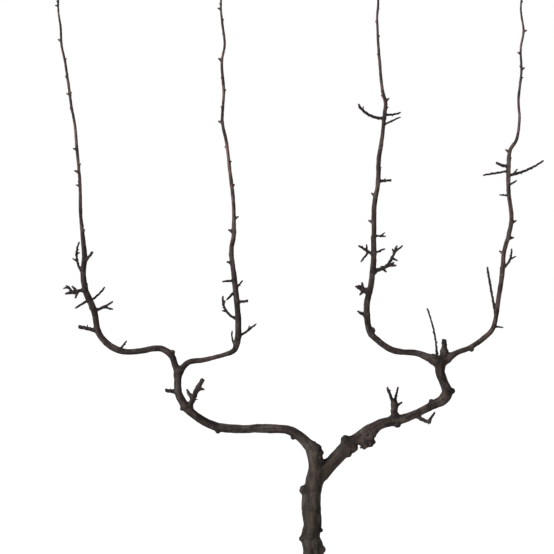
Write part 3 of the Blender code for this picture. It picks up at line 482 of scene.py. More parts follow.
KNOBS = {
    "trunk": [(-0.018, 0.307, 0.019, 0.002), (-0.022, 0.204, 0.013, 0.004),
              (0.017, 0.181, 0.014, 0.007), (0.017, 0.222, 0.009, 0.004)],
    "left_lower_bough": [(-0.040, 0.415, 0.010, 0.000), (-0.197, 0.430, 0.010, 0.002)],
    "left_riser": [(-0.270, 0.478, 0.009, 0.002)],
    "left_outer_branch": [(-0.291, 0.595, 0.010, 0.000)],
    "left_outer_upright": [(-0.479, 0.848, 0.008, 0.003)],
    "left_outer_leader": [(-0.493, 0.943, 0.007, 0.000), (-0.499, 0.972, 0.009, 0.000),
                          (-0.497, 1.020, 0.007, 0.001), (-0.528, 1.248, 0.007, 0.000),
                          (-0.512, 1.136, 0.006, 0.001), (-0.535, 1.320, 0.006, 0.000)],
    "left_inner_upright": [(-0.171, 0.848, 0.010, 0.000), (-0.173, 0.782, 0.009, 0.000),
                           (-0.158, 0.876, 0.008, 0.001)],
    "left_inner_leader": [(-0.195, 1.207, 0.008, 0.000), (-0.192, 1.076, 0.008, 0.000),
                          (-0.195, 1.314, 0.007, 0.001)],
    "right_lower_bough": [(0.090, 0.388, 0.020, 0.003), (0.076, 0.381, 0.015, 0.005),
                          (0.068, 0.412, 0.019, 0.000), (0.181, 0.438, 0.013, 0.001),
                          (0.250, 0.492, 0.009, 0.000)],
    "right_riser": [(0.293, 0.512, 0.012, 0.000), (0.258, 0.5775, 0.023, 0.000),
                    (0.284, 0.580, 0.020, 0.000), (0.258, 0.590, 0.015, 0.001),
                    (0.287, 0.594, 0.013, 0.000)],
    "right_inner_upright": [(0.135, 0.643, 0.012, 0.002), (0.125, 0.868, 0.009, 0.000)],
    "right_inner_leader": [(0.127, 0.925, 0.008, 0.000), (0.162, 1.126, 0.008, 0.000)],
    "right_outer_branch": [(0.337, 0.597, 0.010, 0.000)],
    "right_outer_upright": [(0.423, 0.833, 0.010, 0.000), (0.399, 0.804, 0.008, 0.000),
                            (0.424, 0.868, 0.009, 0.000)],
    "right_outer_leader": [(0.410, 1.017, 0.008, 0.000), (0.444, 1.191, 0.007, 0.000),
                           (0.437, 1.224, 0.007, 0.001), (0.449, 1.270, 0.007, 0.000)],
}

# ---- Spurs: the short fruiting shoots. Each is one stem with its twigs ------------------
# Stem: base x and height on the limb, heading in degrees (0 points right, 90 up), length,
# thickness, how far it curls in all, and its lean towards the front. A twig leaves its stem
# at a share of its length, turned by some degrees, with a length and twigs of its own; its
# thickness is a share of its stem's.

Spur = namedtuple("Spur", "name limb base heading length thick curl lean blunt twigs",
                  defaults=(0, 0, False, ()))
Twig = namedtuple("Twig", "share turn length twigs slim")


def arm_spurs(arm, *rows):
    """The numbered spurs of one arm, each given with the kind of limb that carries it."""
    return [Spur(f"{arm}_spur_{number}", f"{arm}_{kind}", *row)
            for number, (kind, *row) in enumerate(rows, start=1)]


def twig(share, turn, length, *twigs, slim=TWIG_SHARE):
    """One side twig of a stem."""
    return Twig(share, turn, length, twigs, slim)


SPURS = [
    Spur("left_bough_stub", "left_lower_bough", (0.011, 0.371), 87, 0.024, 0.0190, 4, 4, True),
    Spur("left_riser_stub", "left_riser", (-0.280, 0.511), 172, 0.023, 0.0080, 0, 8, True),
    Spur("left_riser_spur", "left_riser", (-0.257, 0.472), 77, 0.069, 0.0098, -22, 10, True,
         (twig(0.33, 54, 0.019, slim=0.86), twig(0.66, -50, 0.012))),
    Spur("right_bough_burr", "right_lower_bough", (0.122, 0.424), 258, 0.025, 0.0205, -10, 8,
         True, (twig(0.48, 62, 0.009), twig(0.86, -44, 0.011, slim=0.46))),
    Spur("right_bough_spur", "right_lower_bough", (0.174, 0.450), 90, 0.035, 0.0140, 0, -8, True,
         (twig(0.74, 19, 0.039, slim=0.50), twig(0.80, -9, 0.036, slim=0.42),
          twig(0.66, -58, 0.016, slim=0.44))),
    Spur("right_bough_hook", "right_lower_bough", (0.218, 0.464), -54, 0.034, 0.0085, 52, 14,
         True, (twig(0.84, 60, 0.023, slim=0.66),)),
    Spur("right_head_stub", "right_riser", (0.277, 0.578), 90, 0.038, 0.0110, 0, 6, True),
    Spur("right_head_whip", "right_riser", (0.263, 0.574), 90, 0.108, 0.0047, 20, -6),
    *arm_spurs("left_outer",
        ("branch", (-0.404, 0.598), 52, 0.022, 0.0046, 0, 12),
        ("upright", (-0.451, 0.638), 165, 0.037, 0.0080, 4, 4, True),
        ("upright", (-0.457, 0.681), 18, 0.026, 0.0062, 8, -12, False,
         (twig(0.80, 8, 0.018), twig(0.72, -40, 0.016))),
        ("upright", (-0.468, 0.704), 212, 0.030, 0.0050, 0, 18),
        ("upright", (-0.469, 0.700), 30, 0.044, 0.0044, 28, -24),
        ("upright", (-0.476, 0.726), 196, 0.038, 0.0070, -6, 0, False,
         (twig(0.44, -58, 0.013), twig(0.66, -60, 0.018, twig(0.7, 44, 0.010)),
          twig(0.40, 60, 0.012))),
        ("upright", (-0.482, 0.762), 124, 0.062, 0.0048, -58, 4, False,
         (twig(0.40, 56, 0.009), twig(0.60, -62, 0.005))),
        ("upright", (-0.478, 0.781), 50, 0.028, 0.0058, 0, 16, True)),
    *arm_spurs("left_inner",
        ("upright", (-0.158, 0.604), 128, 0.034, 0.0042, -46, 6),
        ("upright", (-0.154, 0.627), 30, 0.042, 0.0046, 12, -10, False, (twig(0.55, 46, 0.007),)),
        ("upright", (-0.157, 0.664), 163, 0.057, 0.0054, -82, 8, False,
         (twig(0.46, 50, 0.007), twig(0.74, -44, 0.006))),
        ("upright", (-0.158, 0.700), -2, 0.021, 0.0058, 14, 12, True),
        ("upright", (-0.161, 0.722), 226, 0.023, 0.0046, 0, 20),
        ("upright", (-0.161, 0.726), 50, 0.021, 0.0044, 0, -20),
        ("upright", (-0.163, 0.744), 184, 0.021, 0.0046, 0, 6),
        ("leader", (-0.168, 0.940), 62, 0.024, 0.0044, 0, -72)),
    *arm_spurs("right_inner",
        ("upright", (0.117, 0.668), 150, 0.019, 0.0068, 0, 6),
        ("upright", (0.120, 0.720), 156, 0.026, 0.0098, 0, 10, False,
         (twig(0.34, 66, 0.011, slim=0.70), twig(0.52, -62, 0.010, slim=0.64))),
        ("upright", (0.128, 0.761), 27, 0.044, 0.0076, -6, 0, False,
         (twig(0.70, 32, 0.045, twig(0.74, 40, 0.010), twig(0.88, 12, 0.012),
               twig(0.84, -34, 0.018), twig(0.42, -72, 0.012)),
          twig(0.80, -20, 0.012), twig(0.42, -56, 0.009))),
        ("upright", (0.129, 0.798), 148, 0.034, 0.0056, 0, 14, False,
         (twig(0.34, 88, 0.024), twig(0.46, -62, 0.010))),
        ("upright", (0.130, 0.801), 24, 0.023, 0.0046, 0, -16),
        ("upright", (0.130, 0.838), 2, 0.021, 0.0044, -12, 10, False, (twig(0.60, 50, 0.009),)),
        ("leader", (0.139, 0.953), 0, 0.026, 0.0056, 10, -12, True),
        ("leader", (0.150, 1.072), 24, 0.038, 0.0040, 0, 18),
        ("leader", (0.153, 1.086), 184, 0.063, 0.0062, -62, 4),
        ("leader", (0.154, 1.094), -4, 0.034, 0.0046, 26, -20)),
    *arm_spurs("right_outer",
        ("upright", (0.381, 0.648), -6, 0.018, 0.0042, 0, 14),
        ("upright", (0.387, 0.672), 101, 0.099, 0.0052, -2, 0),
        ("upright", (0.403, 0.770), 36, 0.044, 0.0048, 62, 8, False,
         (twig(0.50, -36, 0.013), twig(0.30, 58, 0.006))),
        ("leader", (0.413, 0.923), 178, 0.018, 0.0036, 0, 14),
        ("leader", (0.413, 0.944), 30, 0.020, 0.0040, 0, -22),
        ("leader", (0.413, 0.975), 192, 0.052, 0.0046, -4, 6),
        ("leader", (0.413, 0.965), 10, 0.078, 0.0052, 26, -4, False, (twig(0.14, 40, 0.012),)),
        ("leader", (0.413, 0.984), 177, 0.025, 0.0064, -30, -6, True)),
]


# ---- Paths --------------------------------------------------------------------------

def spline(points, per_span):
    """A Catmull-Rom curve: half of 2b + (c-a)t + (2a-5b+4c-d)t^2 + (3b-a-3c+d)t^3 a span."""
    points = np.asarray(points, dtype=float)
    before = 2 * points[0] - points[1]
    after = 2 * points[-1] - points[-2]
    knots = np.vstack([before, points, after])
    share = np.linspace(0, 1, per_span, endpoint=False)[:, None]
    spans = []
    for a, b, c, d in zip(knots, knots[1:], knots[2:], knots[3:]):
        spans.append(0.5 * (2 * b + (c - a) * share + (2 * a - 5 * b + 4 * c - d) * share ** 2
                            + (3 * b - a - 3 * c + d) * share ** 3))
    return np.vstack(spans + [points[-1:]])


def lengths_along(points):
    """Distance along a path to each of its points."""
    steps = np.linalg.norm(np.diff(points, axis=0), axis=1)
    return np.concatenate([[0.0], np.cumsum(steps)])


def ways_on(points):
    """The unit direction in which a path goes on from each of its points."""
    ways = np.gradient(points, axis=0)
    return ways / np.linalg.norm(ways, axis=1)[:, None]


def wander(seed, along, reach):
    """A smooth seeded stray off a line: a sum of sines, nought where the line starts."""
    rng = np.random.default_rng(seed)
    stray = np.zeros_like(along)
    for wavelength in WANDER_WAVES:
        phase = rng.uniform(0, 2 * math.pi)
        turn = 2 * math.pi * along / wavelength + phase
        share = (wavelength / WANDER_WAVES[0]) ** WANDER_FALL
        stray += reach * share * (np.sin(turn) - math.sin(phase))
    return stray


def routed(route, start_depth):
    """A route's whole path, x y z thickness along, and where on it each limb starts and ends."""
    stations = [route.start]
    for limb in route.limbs:
        stations.extend(limb.stations)
    curve = spline(stations, SPLINE_STEPS)
    level = lengths_along(curve[:, :2])
    depth = start_depth * np.exp(-level / DEPTH_FADE) + wander(route.seed, level, DEPTH_WANDER)
    places = np.column_stack([curve[:, 0], depth, curve[:, 1]])
    along = lengths_along(places)
    spans = {}
    first = 0
    for limb in route.limbs:
        last = first + len(limb.stations) * SPLINE_STEPS
        spans[limb.name] = (along[first], along[last])
        first = last
    return np.column_stack([places, curve[:, 2], along]), spans


def curved_stem(base, heading, lean, length, curl):
    """A stem's path: it sets off along its heading and curls evenly to its end."""
    angles = np.radians(heading + curl * np.linspace(0, 1, STEM_POINTS))
    flat = math.cos(math.radians(lean))
    forward = np.full(STEM_POINTS, -math.sin(math.radians(lean)))
    step = np.column_stack([np.cos(angles) * flat, forward, np.sin(angles) * flat])
    middle = (step[1:] + step[:-1]) / 2 * (length / (STEM_POINTS - 1))
    return np.asarray(base) + np.vstack([np.zeros(3), np.cumsum(middle, axis=0)])


# ---- Seeded patterns ------------------------------------------------------------------

def hashed(seed, *cells):
    """A seeded number from 0 to 1 for each whole-number cell."""
    mixed = np.full(np.broadcast(*cells).shape, seed * 7919 + 17, dtype=np.int64)
    for cell, prime in zip(cells, (73856093, 19349663, 83492791)):
        mixed ^= np.asarray(cell, dtype=np.int64) * prime
        mixed = (mixed ^ (mixed >> 15)) * 2246822519
        mixed &= 0xFFFFFFFF
    mixed = (mixed ^ (mixed >> 13)) * 3266489917 & 0xFFFFFFFF
    mixed ^= mixed >> 16
    return (mixed & 0xFFFFFF) / 0xFFFFFF


def noise(points, seed):
    """Smooth noise from -1 to 1: seeded corner values of a unit lattice, blended in each cell
    by 6t^5 - 15t^4 + 10t^3."""
    cell = np.floor(points).astype(np.int64)
    part = points - cell
    fade = part ** 3 * (part * (part * 6 - 15) + 10)
    total = np.zeros(points.shape[:-1])
    for corner in np.ndindex(2, 2, 2):
        value = hashed(seed, *[cell[..., axis] + corner[axis] for axis in range(3)])
        weight = np.ones(points.shape[:-1])
        for axis in range(3):
            weight *= fade[..., axis] if corner[axis] else 1 - fade[..., axis]
        total += value * weight
    return 2 * total - 1


def stepped(value, low, high):
    """A smooth step from 0 at `low` to 1 at `high`: 3t^2 - 2t^3."""
    share = np.clip((value - low) / (high - low), 0, 1)
    return share * share * (3 - 2 * share)


# ---- Growths ----------------------------------------------------------------------------

class Growth:
    """A limb, stem or twig as rings of points round its path.

    A point is centre(s) + (girth(s, a) + swell(s, a)) * out(s, a) + shift(s, a) * way(s), where
    out turns round the path as side(s) cos a + up(s) sin a. `swell` is the fillet, `near` the
    distance to what it is joined to, and `meet` rises to 1 on the line where the two surfaces
    meet. `bumps` is extra height, `dark` extra darkness from dark marks and from painted shade in
    the lumps' creases, and `cut` is 1 on cut wood.
    """

    def __init__(self, name, path, sides, first_mark=0.0, age=None, seed=0, guide=None):
        self.name = name
        self.seed = seed
        self.centres = path[:, :3]
        self.radii = path[:, 3] / 2
        self.core = self.radii
        self.balls = []
        self.along = first_mark + lengths_along(self.centres)
        self.first_turn = 0.0
        self.ways = ways_on(self.centres)
        if guide is None:
            guide = np.eye(3)[np.argmin(np.abs(self.ways).max(axis=0))]
        guide = np.asarray(guide, dtype=float)
        side = guide - (self.ways @ guide)[:, None] * self.ways
        side /= np.linalg.norm(side, axis=1)[:, None]
        up = np.cross(self.ways, side)
        self.angles = np.arange(sides) * 2 * math.pi / sides
        self.outs = (np.cos(self.angles)[None, :, None] * side[:, None, :]
                     + np.sin(self.angles)[None, :, None] * up[:, None, :])
        self.girth = np.repeat(self.radii[:, None], sides, axis=1)
        self.swell = np.zeros_like(self.girth)
        self.near = np.full_like(self.girth, FAR_OFF)
        self.meet = np.zeros_like(self.girth)
        self.shift = np.zeros_like(self.girth)
        self.cut = np.zeros_like(self.girth)
        self.dark = np.zeros_like(self.girth)
        self.bumps = np.zeros_like(self.girth)
        full_age = stepped(self.radii * 2, YOUNG_THICK, OLD_THICK)
        self.age = full_age if age is None else np.full(len(self.radii), age)

    def cap(self, rings, tilt=0.0):
        """Closes the end with rings, each a share of the end's radius wide and on; a cut face
        is tilted by adding tilt * r cos a along the way, which fades in over the last stretch."""
        radius = self.radii[-1]
        way = self.ways[-1]
        ramp = np.clip(1 - (self.along[-1] - self.along) / (TILT_FADE * radius), 0, 1)
        shares = np.array([ring[0] for ring in rings])
        offsets = np.array([ring[1] for ring in rings]) * radius
        steps = np.hypot(np.diff(np.append(1.0, shares)) * radius,
                         np.diff(np.append(0.0, offsets)))
        count = len(rings)
        self.centres = np.vstack([self.centres, self.centres[-1] + offsets[:, None] * way])
        self.ways = np.vstack([self.ways, np.repeat(way[None], count, axis=0)])
        self.along = np.append(self.along, self.along[-1] + np.cumsum(steps))
        self.radii = np.append(self.radii, shares * radius)
        self.age = np.append(self.age, np.full(count, self.age[-1]))
        self.outs = np.concatenate([self.outs, np.repeat(self.outs[-1:], count, axis=0)])
        self.girth = np.vstack([self.girth, shares[:, None] * self.girth[-1]])
        for name in ("swell", "near", "meet", "shift", "bumps"):
            values = getattr(self, name)
            setattr(self, name, np.vstack([values, np.repeat(values[-1:], count, axis=0)]))
        for name, column in (("cut", 2), ("dark", 3)):
            added = np.array([ring[column] for ring in rings])[:, None] * np.ones(self.cut.shape[1])
            setattr(self, name, np.vstack([getattr(self, name), added]))
        ramp = np.append(ramp, np.ones(count))
        self.shift = self.shift + tilt * ramp[:, None] * self.girth * np.cos(self.angles)[None, :]

    def turns(self):
        """Distance along in thicknesses, going on from the limb before on the same route."""
        steps = np.diff(self.along) / (2 * self.radii[1:])
        return self.first_turn + np.concatenate([[0], np.cumsum(steps)])

    def points(self):
        """The surface without its bark."""
        reach = self.girth + self.swell
        return (self.centres[:, None, :] + reach[..., None] * self.outs
                + self.shift[..., None] * self.ways[:, None, :])

    def field(self):
        """Balls that fill the growth, for how far off a point it is."""
        step = max(1, round(FIELD_STEP / np.diff(self.along).mean()))
        centres = self.centres[::step]
        radii = self.core[::step]
        for centre, radius in self.balls:
            centres = np.vstack([centres, centre])
            radii = np.append(radii, radius)
        return centres, radii

    def bump(self, mark, angle, height, half_length, half_width, dark=0.0):
        """Adds height * exp(-(ds/length)^2 - (r da/width)^2) round one spot."""
        first, last = np.searchsorted(self.along, [mark - 3 * half_length, mark + 3 * half_length])
        if last <= first:
            return
        off = (self.angles - angle + math.pi) % (2 * math.pi) - math.pi
        across = off[None, :] * self.radii[first:last, None] / half_width
        down = (self.along[first:last, None] - mark) / half_length
        shape = np.exp(-down ** 2 - across ** 2)
        self.bumps[first:last] += height * shape
        self.dark[first:last] = np.maximum(self.dark[first:last], dark * shape)


def clearance(points, field):
    """Distance from each point to the nearest ball of a field: |p - c| - r."""
    centres, radii = field
    gaps = np.empty(len(points))
    for first in range(0, len(points), BLOCK):
        part = points[first:first + BLOCK]
        squares = ((part ** 2).sum(1)[:, None] - 2 * part @ centres.T
                   + (centres ** 2).sum(1)[None, :])
        gaps[first:first + BLOCK] = (np.sqrt(np.maximum(squares, 0)) - radii).min(axis=1)
    return gaps


def smooth_least(one, other, width):
    """The smaller of two distances, rounded where they are close:
    min(a, b) - max(width - |a - b|, 0)^2 / (4 width)."""
    overlap = np.maximum(width - np.abs(one - other), 0)
    return np.minimum(one, other) - overlap ** 2 / (4 * width)


def pushed_out(points, outs, field, width, limit):
    """How far each point moves out to lie on the rounded union of its own surface and a field:
    t such that smooth_least(t, clearance(p + t out)) = 0, found by halving 0 to limit."""
    low = np.zeros(len(points))
    high = np.full(len(points), float(limit))
    for _ in range(HALVINGS):
        middle = (low + high) / 2
        gap = clearance(points + middle[:, None] * outs, field)
        inside = smooth_least(middle, gap, width) < 0
        low = np.where(inside, middle, low)
        high = np.where(inside, high, middle)
    return low


def nearby(growth, field, width):
    """The rings of a growth that a field comes close to, and the part of the field near them."""
    gaps = clearance(growth.centres, field)
    limit = growth.girth.max(axis=1) * NEAR_GIRTH + width * NEAR_WIDTH + NEAR_MARGIN
    rings = np.nonzero(gaps < limit)[0]
    if len(rings) == 0:
        return None
    first, last = rings.min(), rings.max() + 1
    centres = growth.centres[first:last]
    middle = (centres.min(axis=0) + centres.max(axis=0)) / 2
    span = np.linalg.norm(centres - middle, axis=1).max()
    reach = span + growth.girth.max() + width * FIELD_WIDTH + FIELD_MARGIN
    kept = np.linalg.norm(field[0] - middle, axis=1) - field[1] < reach
    return first, last, (field[0][kept], field[1][kept])


def knobbed(growth, centre, radius):
    """Grows a healed knob out of a limb's side, rounded into it."""
    field = (centre[None, :], np.array([radius]))
    found = nearby(growth, field, radius)
    if found is None:
        return
    first, last, field = found
    shape = growth.girth[first:last].shape
    points = growth.points()[first:last].reshape(-1, 3)
    outs = growth.outs[first:last].reshape(-1, 3)
    pushed = pushed_out(points, outs, field, radius * KNOB_BLEND, radius * KNOB_REACH)
    growth.girth[first:last] += pushed.reshape(shape)


def joined_to(growth, field, width):
    """Rounds a growth into its neighbour, and notes how near that is. The fillet lifts the
    surface by a quarter of its width where the two surfaces meet, and elsewhere by less."""
    found = nearby(growth, field, width)
    if found is None:
        return
    first, last, field = found
    rings = slice(first, last)
    shape = growth.girth[rings].shape
    base = (growth.centres[rings, None, :] + growth.girth[rings, :, None] * growth.outs[rings]
            + growth.shift[rings, :, None] * growth.ways[rings, None, :]).reshape(-1, 3)
    outs = growth.outs[rings].reshape(-1, 3)
    lift = width / 4
    pushed = pushed_out(base, outs, field, width, lift)
    gap = clearance(base + pushed[:, None] * outs, field).reshape(shape)
    pushed = pushed.reshape(shape)
    growth.swell[rings] = np.maximum(growth.swell[rings], pushed)
    growth.near[rings] = np.minimum(growth.near[rings], np.maximum(gap, 0))
    growth.meet[rings] = np.maximum(growth.meet[rings], np.clip(pushed / lift, 0, 1))


# ---- Bark -------------------------------------------------------------------------------

def lenticels(growth, spacing, dash, seed):
    """Raised dashes across the bark: rows `spacing` apart are parted into cells a little wider
    than that, and each cell holds one dash at a seeded place in it,
    strength * exp(-(across/dash)^2 - (along/(flat dash))^2)."""
    row = np.floor(growth.along / spacing)
    height = np.zeros_like(growth.girth)
    for row_step in (-1, 0, 1):
        line = row + row_step
        radius = np.interp((line + 0.5) * spacing, growth.along, growth.radii)
        count = np.maximum(3, np.round(2 * math.pi * radius / (LENTICEL_CELL * spacing)))[:, None]
        turns = growth.angles[None, :] / (2 * math.pi) * count
        cell = np.floor(turns)
        for cell_step in (-1, 0, 1):
            number = (cell + cell_step) % count
            lines = np.broadcast_to(line[:, None], number.shape)
            across = turns - cell - cell_step - hashed(seed, lines, number)
            across *= 2 * math.pi * growth.radii[:, None] / count
            down = growth.along[:, None] - (lines + hashed(seed + 1, lines, number)) * spacing
            strength = stepped(hashed(seed + 2, lines, number), *LENTICEL_CHANCE)
            shape = strength * np.exp(-(across / dash) ** 2
                                      - (down / (LENTICEL_FLAT * dash)) ** 2)
            height = np.maximum(height, shape)
    return height


def bark_height(growth):
    """The bark's height off the smooth limb, and how dark its cracks make it.

    Patterns are noise over (r cos a, r sin a, s), drawn out along the limb: swellings scale
    with the limb's thickness, ribs, fibres and cracks keep their own size. A crack is
    exp(-(noise/width)^2), a line along which the noise passes nought.
    """
    shape = growth.girth.shape
    radii = growth.radii[:, None]
    cosine = np.broadcast_to(np.cos(growth.angles), shape)
    sine = np.broadcast_to(np.sin(growth.angles), shape)
    level = np.broadcast_to(growth.along[:, None], shape)
    rolled = np.broadcast_to(growth.turns()[:, None], shape)
    grain = np.stack([radii * cosine, radii * sine, level], axis=-1)
    unit = np.stack([cosine, sine, rolled], axis=-1)
    age = growth.age[:, None]
    thick = 2 * radii

    height = thick * BROAD_SWELL * noise(unit * BROAD_RATE, growth.seed)
    height += thick * SMALL_SWELL * noise(unit * SMALL_RATE, growth.seed + 1)
    waves = {name: noise(grain / cell, growth.seed + offset)
             for offset, (name, cell) in enumerate(BARK_CELLS.items(), start=2)}
    height += RIB_HEIGHT * age * waves["rib"]
    height += FIBRE_HEIGHT * (YOUNG_FIBRE + (1 - YOUNG_FIBRE) * age) * waves["fibre"]
    height += PLATE_HEIGHT * age ** 2 * np.tanh(PLATE_EDGE * waves["plate"])
    patches = stepped(waves["patch"], *PATCH_RANGE)
    cracks = np.exp(-(waves["crack"] / CRACK_WIDTH) ** 2) * patches * age
    checks = CHECK_SHARE * np.exp(-(waves["check"] / CHECK_WIDTH) ** 2) * patches * age ** 2
    cracks = np.maximum(cracks, checks)
    height -= CRACK_DEPTH * cracks
    height += WRINKLE_HEIGHT * (1 - OLD_WRINKLES * age) * waves["wrinkle"]
    height += FINE_HEIGHT * waves["fine"]
    return height, cracks, grain


def bud_rings(growth, grain, length):
    """Rings round a spur, sin(2 pi (s + stray) / length), and how strong they are from place to
    place: 0.5 + 0.5 noise."""
    stray = RING_STRAY * noise(grain / RING_STRAY_CELL, growth.seed + 20)
    strength = 0.5 + 0.5 * noise(grain / RING_FADE_CELL, growth.seed + 21)
    return np.sin(2 * math.pi * (growth.along[:, None] + stray) / length), strength


def barked(growth, ring_height=0.0, ring_length=RING_LENGTH, dash=0.0):
    """Puts the bark on a growth, with rings or lenticels. Near a join its own bark gives way to
    folds that follow the join, height * sin(2 pi near / length) * exp(-near / fade), and to
    noise in space that both sides share."""
    height, cracks, grain = bark_height(growth)
    if ring_height:
        rings, strength = bud_rings(growth, grain, ring_length)
        height += ring_height * rings * strength
        cracks = np.maximum(cracks, RING_SHADE * stepped(-rings, 0.5, 1.0) * strength)
    spots = np.zeros_like(height)
    if dash:
        spots = lenticels(growth, LENTICEL_ROWS * dash, dash, growth.seed + 30)
        spots = spots * (1 - OLD_LENTICELS * growth.age[:, None])
        height += LENTICEL_HEIGHT * spots
    base = growth.points()
    shared = noise(base / JOIN_CELL, JOIN_SEED) * JOIN_NOISE
    folds = np.sin(2 * math.pi * growth.near / FOLD_LENGTH) * np.exp(-growth.near / FOLD_FADE)
    own = 1 - JOIN_LOSS * growth.meet
    height = height * own + shared * growth.meet + FOLD_HEIGHT * folds
    height += growth.bumps
    height *= 1 - CUT_LOSS * growth.cut
    cracks = np.maximum(cracks * own * (1 - growth.cut), growth.dark)
    # painted shade along the line where a growth meets what it is joined to
    cracks = np.maximum(cracks, JOIN_PAINTED_SHADE * np.exp(-growth.near / JOIN_PAINTED_SHADE_FADE))
    growth.surface = base + height[..., None] * growth.outs
    if growth.name == "trunk":
        growth.surface[0, :, 2] = 0.0
        growth.surface[..., 2] = np.maximum(growth.surface[..., 2], 0.0)
    # the crack mark holds dark cracks, grooves and scars, and painted shade at joins and in creases
    growth.looks = {"relief": np.clip(height / RELIEF_SCALE, -1, 1), "crack": cracks,
                    "age": np.broadcast_to(growth.age[:, None], height.shape),
                    "cut": growth.cut, "spot": spots}
    growth.grain = growth.surface * LUMPY_GRAIN if growth.name in LUMPY_STEMS else grain
    growth.grain = growth.grain + [0.0, 0.0, growth.seed * GRAIN_SHIFT]


# ---- Meshes -----------------------------------------------------------------------------

def grid_faces(rings, sides, first):
    """Corner numbers of a closed tube's quads and of the triangles that close its ends. Its
    points are numbered ring by ring from `first`, then the two poles."""
    start = first + np.arange(rings - 1)[:, None] * sides
    here = np.arange(sides)[None, :]
    after = (here + 1) % sides
    quads = np.stack([start + here, start + after, start + sides + after, start + sides + here],
                     axis=-1).reshape(-1, 4)
    pole = first + rings * sides
    top = first + (rings - 1) * sides
    foot = np.stack([np.full(sides, pole), first + after[0], first + here[0]], axis=-1)
    head = np.stack([np.full(sides, pole + 1), top + here[0], top + after[0]], axis=-1)
    return quads, np.vstack([foot, head])


def mesh_piece(name, grids, material, replaced):
    """One object from closed grids: dicts of `surface`, `looks` and `grain`."""
    points, quads, triangles, grain = [], [], [], []
    looks = {key: [] for key in LOOKS}
    first = 0
    for grid in grids:
        rings, sides = grid["surface"].shape[:2]
        poles = np.array([grid["surface"][0].mean(axis=0), grid["surface"][-1].mean(axis=0)])
        points.append(np.vstack([grid["surface"].reshape(-1, 3), poles]))
        ends = grid["grain"][[0, -1]].mean(axis=1)
        grain.append(np.vstack([grid["grain"].reshape(-1, 3), ends]))
        for key in LOOKS:
            values = grid["looks"].get(key, np.zeros((rings, sides)))
            looks[key].append(np.concatenate([values.ravel(), values[[0, -1]].mean(axis=1)]))
        four, three = grid_faces(rings, sides, first)
        quads.append(four)
        triangles.append(three)
        first += rings * sides + 2
    points, quads, triangles = np.vstack(points), np.vstack(quads), np.vstack(triangles)
    mesh = bpy.data.meshes.new(name)
    mesh.vertices.add(len(points))
    mesh.vertices.foreach_set("co", points.astype(np.float32).ravel())
    mesh.loops.add(quads.size + triangles.size)
    mesh.loops.foreach_set("vertex_index", np.concatenate([quads.ravel(), triangles.ravel()]))
    mesh.polygons.add(len(quads) + len(triangles))
    starts = np.concatenate([np.arange(len(quads)) * 4, quads.size + np.arange(len(triangles)) * 3])
    mesh.polygons.foreach_set("loop_start", starts)
    mesh.update(calc_edges=True)
    mesh.shade_smooth()
    mesh.set_sharp_from_angle(angle=SHARP_EDGE)
    for key in LOOKS:
        layer = mesh.attributes.new(key, "FLOAT", "POINT")
        layer.data.foreach_set("value", np.concatenate(looks[key]).astype(np.float32))
    layer = mesh.attributes.new("grain", "FLOAT_VECTOR", "POINT")
    layer.data.foreach_set("vector", np.vstack(grain).astype(np.float32).ravel())
    mesh.materials.append(material)
    piece = bpy.data.objects.new(name, mesh)
    bpy.context.scene.collection.objects.link(piece)
    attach(piece, "root")
    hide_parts(*replaced)


def grids_of(growths):
    """The parts of some growths that a mesh is made from."""
    return [{"surface": growth.surface, "looks": growth.looks, "grain": growth.grain}
            for growth in growths]


# ---- Limbs ------------------------------------------------------------------------------

def fitted(path, marks):
    """A dense path's values at some distances along it (its last column)."""
    return np.column_stack([np.interp(marks, path[:, 4], column) for column in path.T])


def lobed(growth, seed, flare=False):
    """Uneven girth, r (1 + wave * sum of sin(lobes a + phase + 2 pi s / length)), and the root
    flare, r (1 + gain exp(-z / height) (1 + lobe gain cos(lobes a + turn)))."""
    rng = np.random.default_rng(seed)
    wave = np.zeros_like(growth.girth)
    for lobes, length in BARK_LOBES:
        phase = rng.uniform(0, 2 * math.pi)
        wave += np.sin(lobes * growth.angles[None, :] + phase
                       + 2 * math.pi * growth.along[:, None] / length)
    growth.girth *= 1 + BARK_WAVE * wave
    if flare:
        spread = FLARE_GAIN * np.exp(-growth.centres[:, 2] / FLARE_HEIGHT)
        ridges = 1 + FLARE_LOBE_GAIN * np.cos(FLARE_LOBES * growth.angles + FLARE_LOBE_TURN)
        growth.girth *= 1 + spread[:, None] * ridges[None, :]


def limb_growth(limb, dense, span, route, first, last):
    """One limb's rings, with the collar at a route's start and its rounded or budded end."""
    start, stop = span
    sides, cell = LIMB_GRID[limb.sides]
    head = last and limb.name == "right_riser"
    end_radius = dense[-1, 3] / 2
    if last:
        stop -= end_radius if head else BUD_LENGTH
    marks = np.linspace(start, stop, round((stop - start) / cell) + 1)
    path = fitted(dense, marks)[:, :4]
    if first and route.carried_by:
        beyond = np.maximum(marks - route.start[2], 0)
        path[:, 3] *= 1 + COLLAR_GAIN * np.exp(-beyond / COLLAR_LENGTH)
    growth = Growth(limb.name, path, sides, start, seed=route.seed, guide=(0, 1, 0))
    lobed(growth, route.seed, flare=limb.name == "trunk")
    if last:
        growth.cap(ROUND_END)
    growth.core = growth.girth.mean(axis=1)
    return growth


def limb_growths():
    """All the limbs, and the path of each for the spurs to stand on."""
    paths = {}
    growths = {}
    for route in ROUTES:
        start_depth = 0.0
        if route.carried_by:
            carrier = paths[route.carried_by[0]]
            away = np.hypot(carrier[:, 0] - route.start[0], carrier[:, 2] - route.start[1])
            start_depth = carrier[np.argmin(away), 1]
        dense, spans = routed(route, start_depth)
        turn = 0.0
        for index, limb in enumerate(route.limbs):
            span = spans[limb.name]
            inside = (dense[:, 4] >= span[0] - TINY) & (dense[:, 4] <= span[1] + TINY)
            paths[limb.name] = dense[inside]
            last = index == len(route.limbs) - 1
            growths[limb.name] = limb_growth(limb, dense, span, route, index == 0, last)
            growths[limb.name].first_turn = turn
            turn = growths[limb.name].turns()[-1]
    return growths, paths


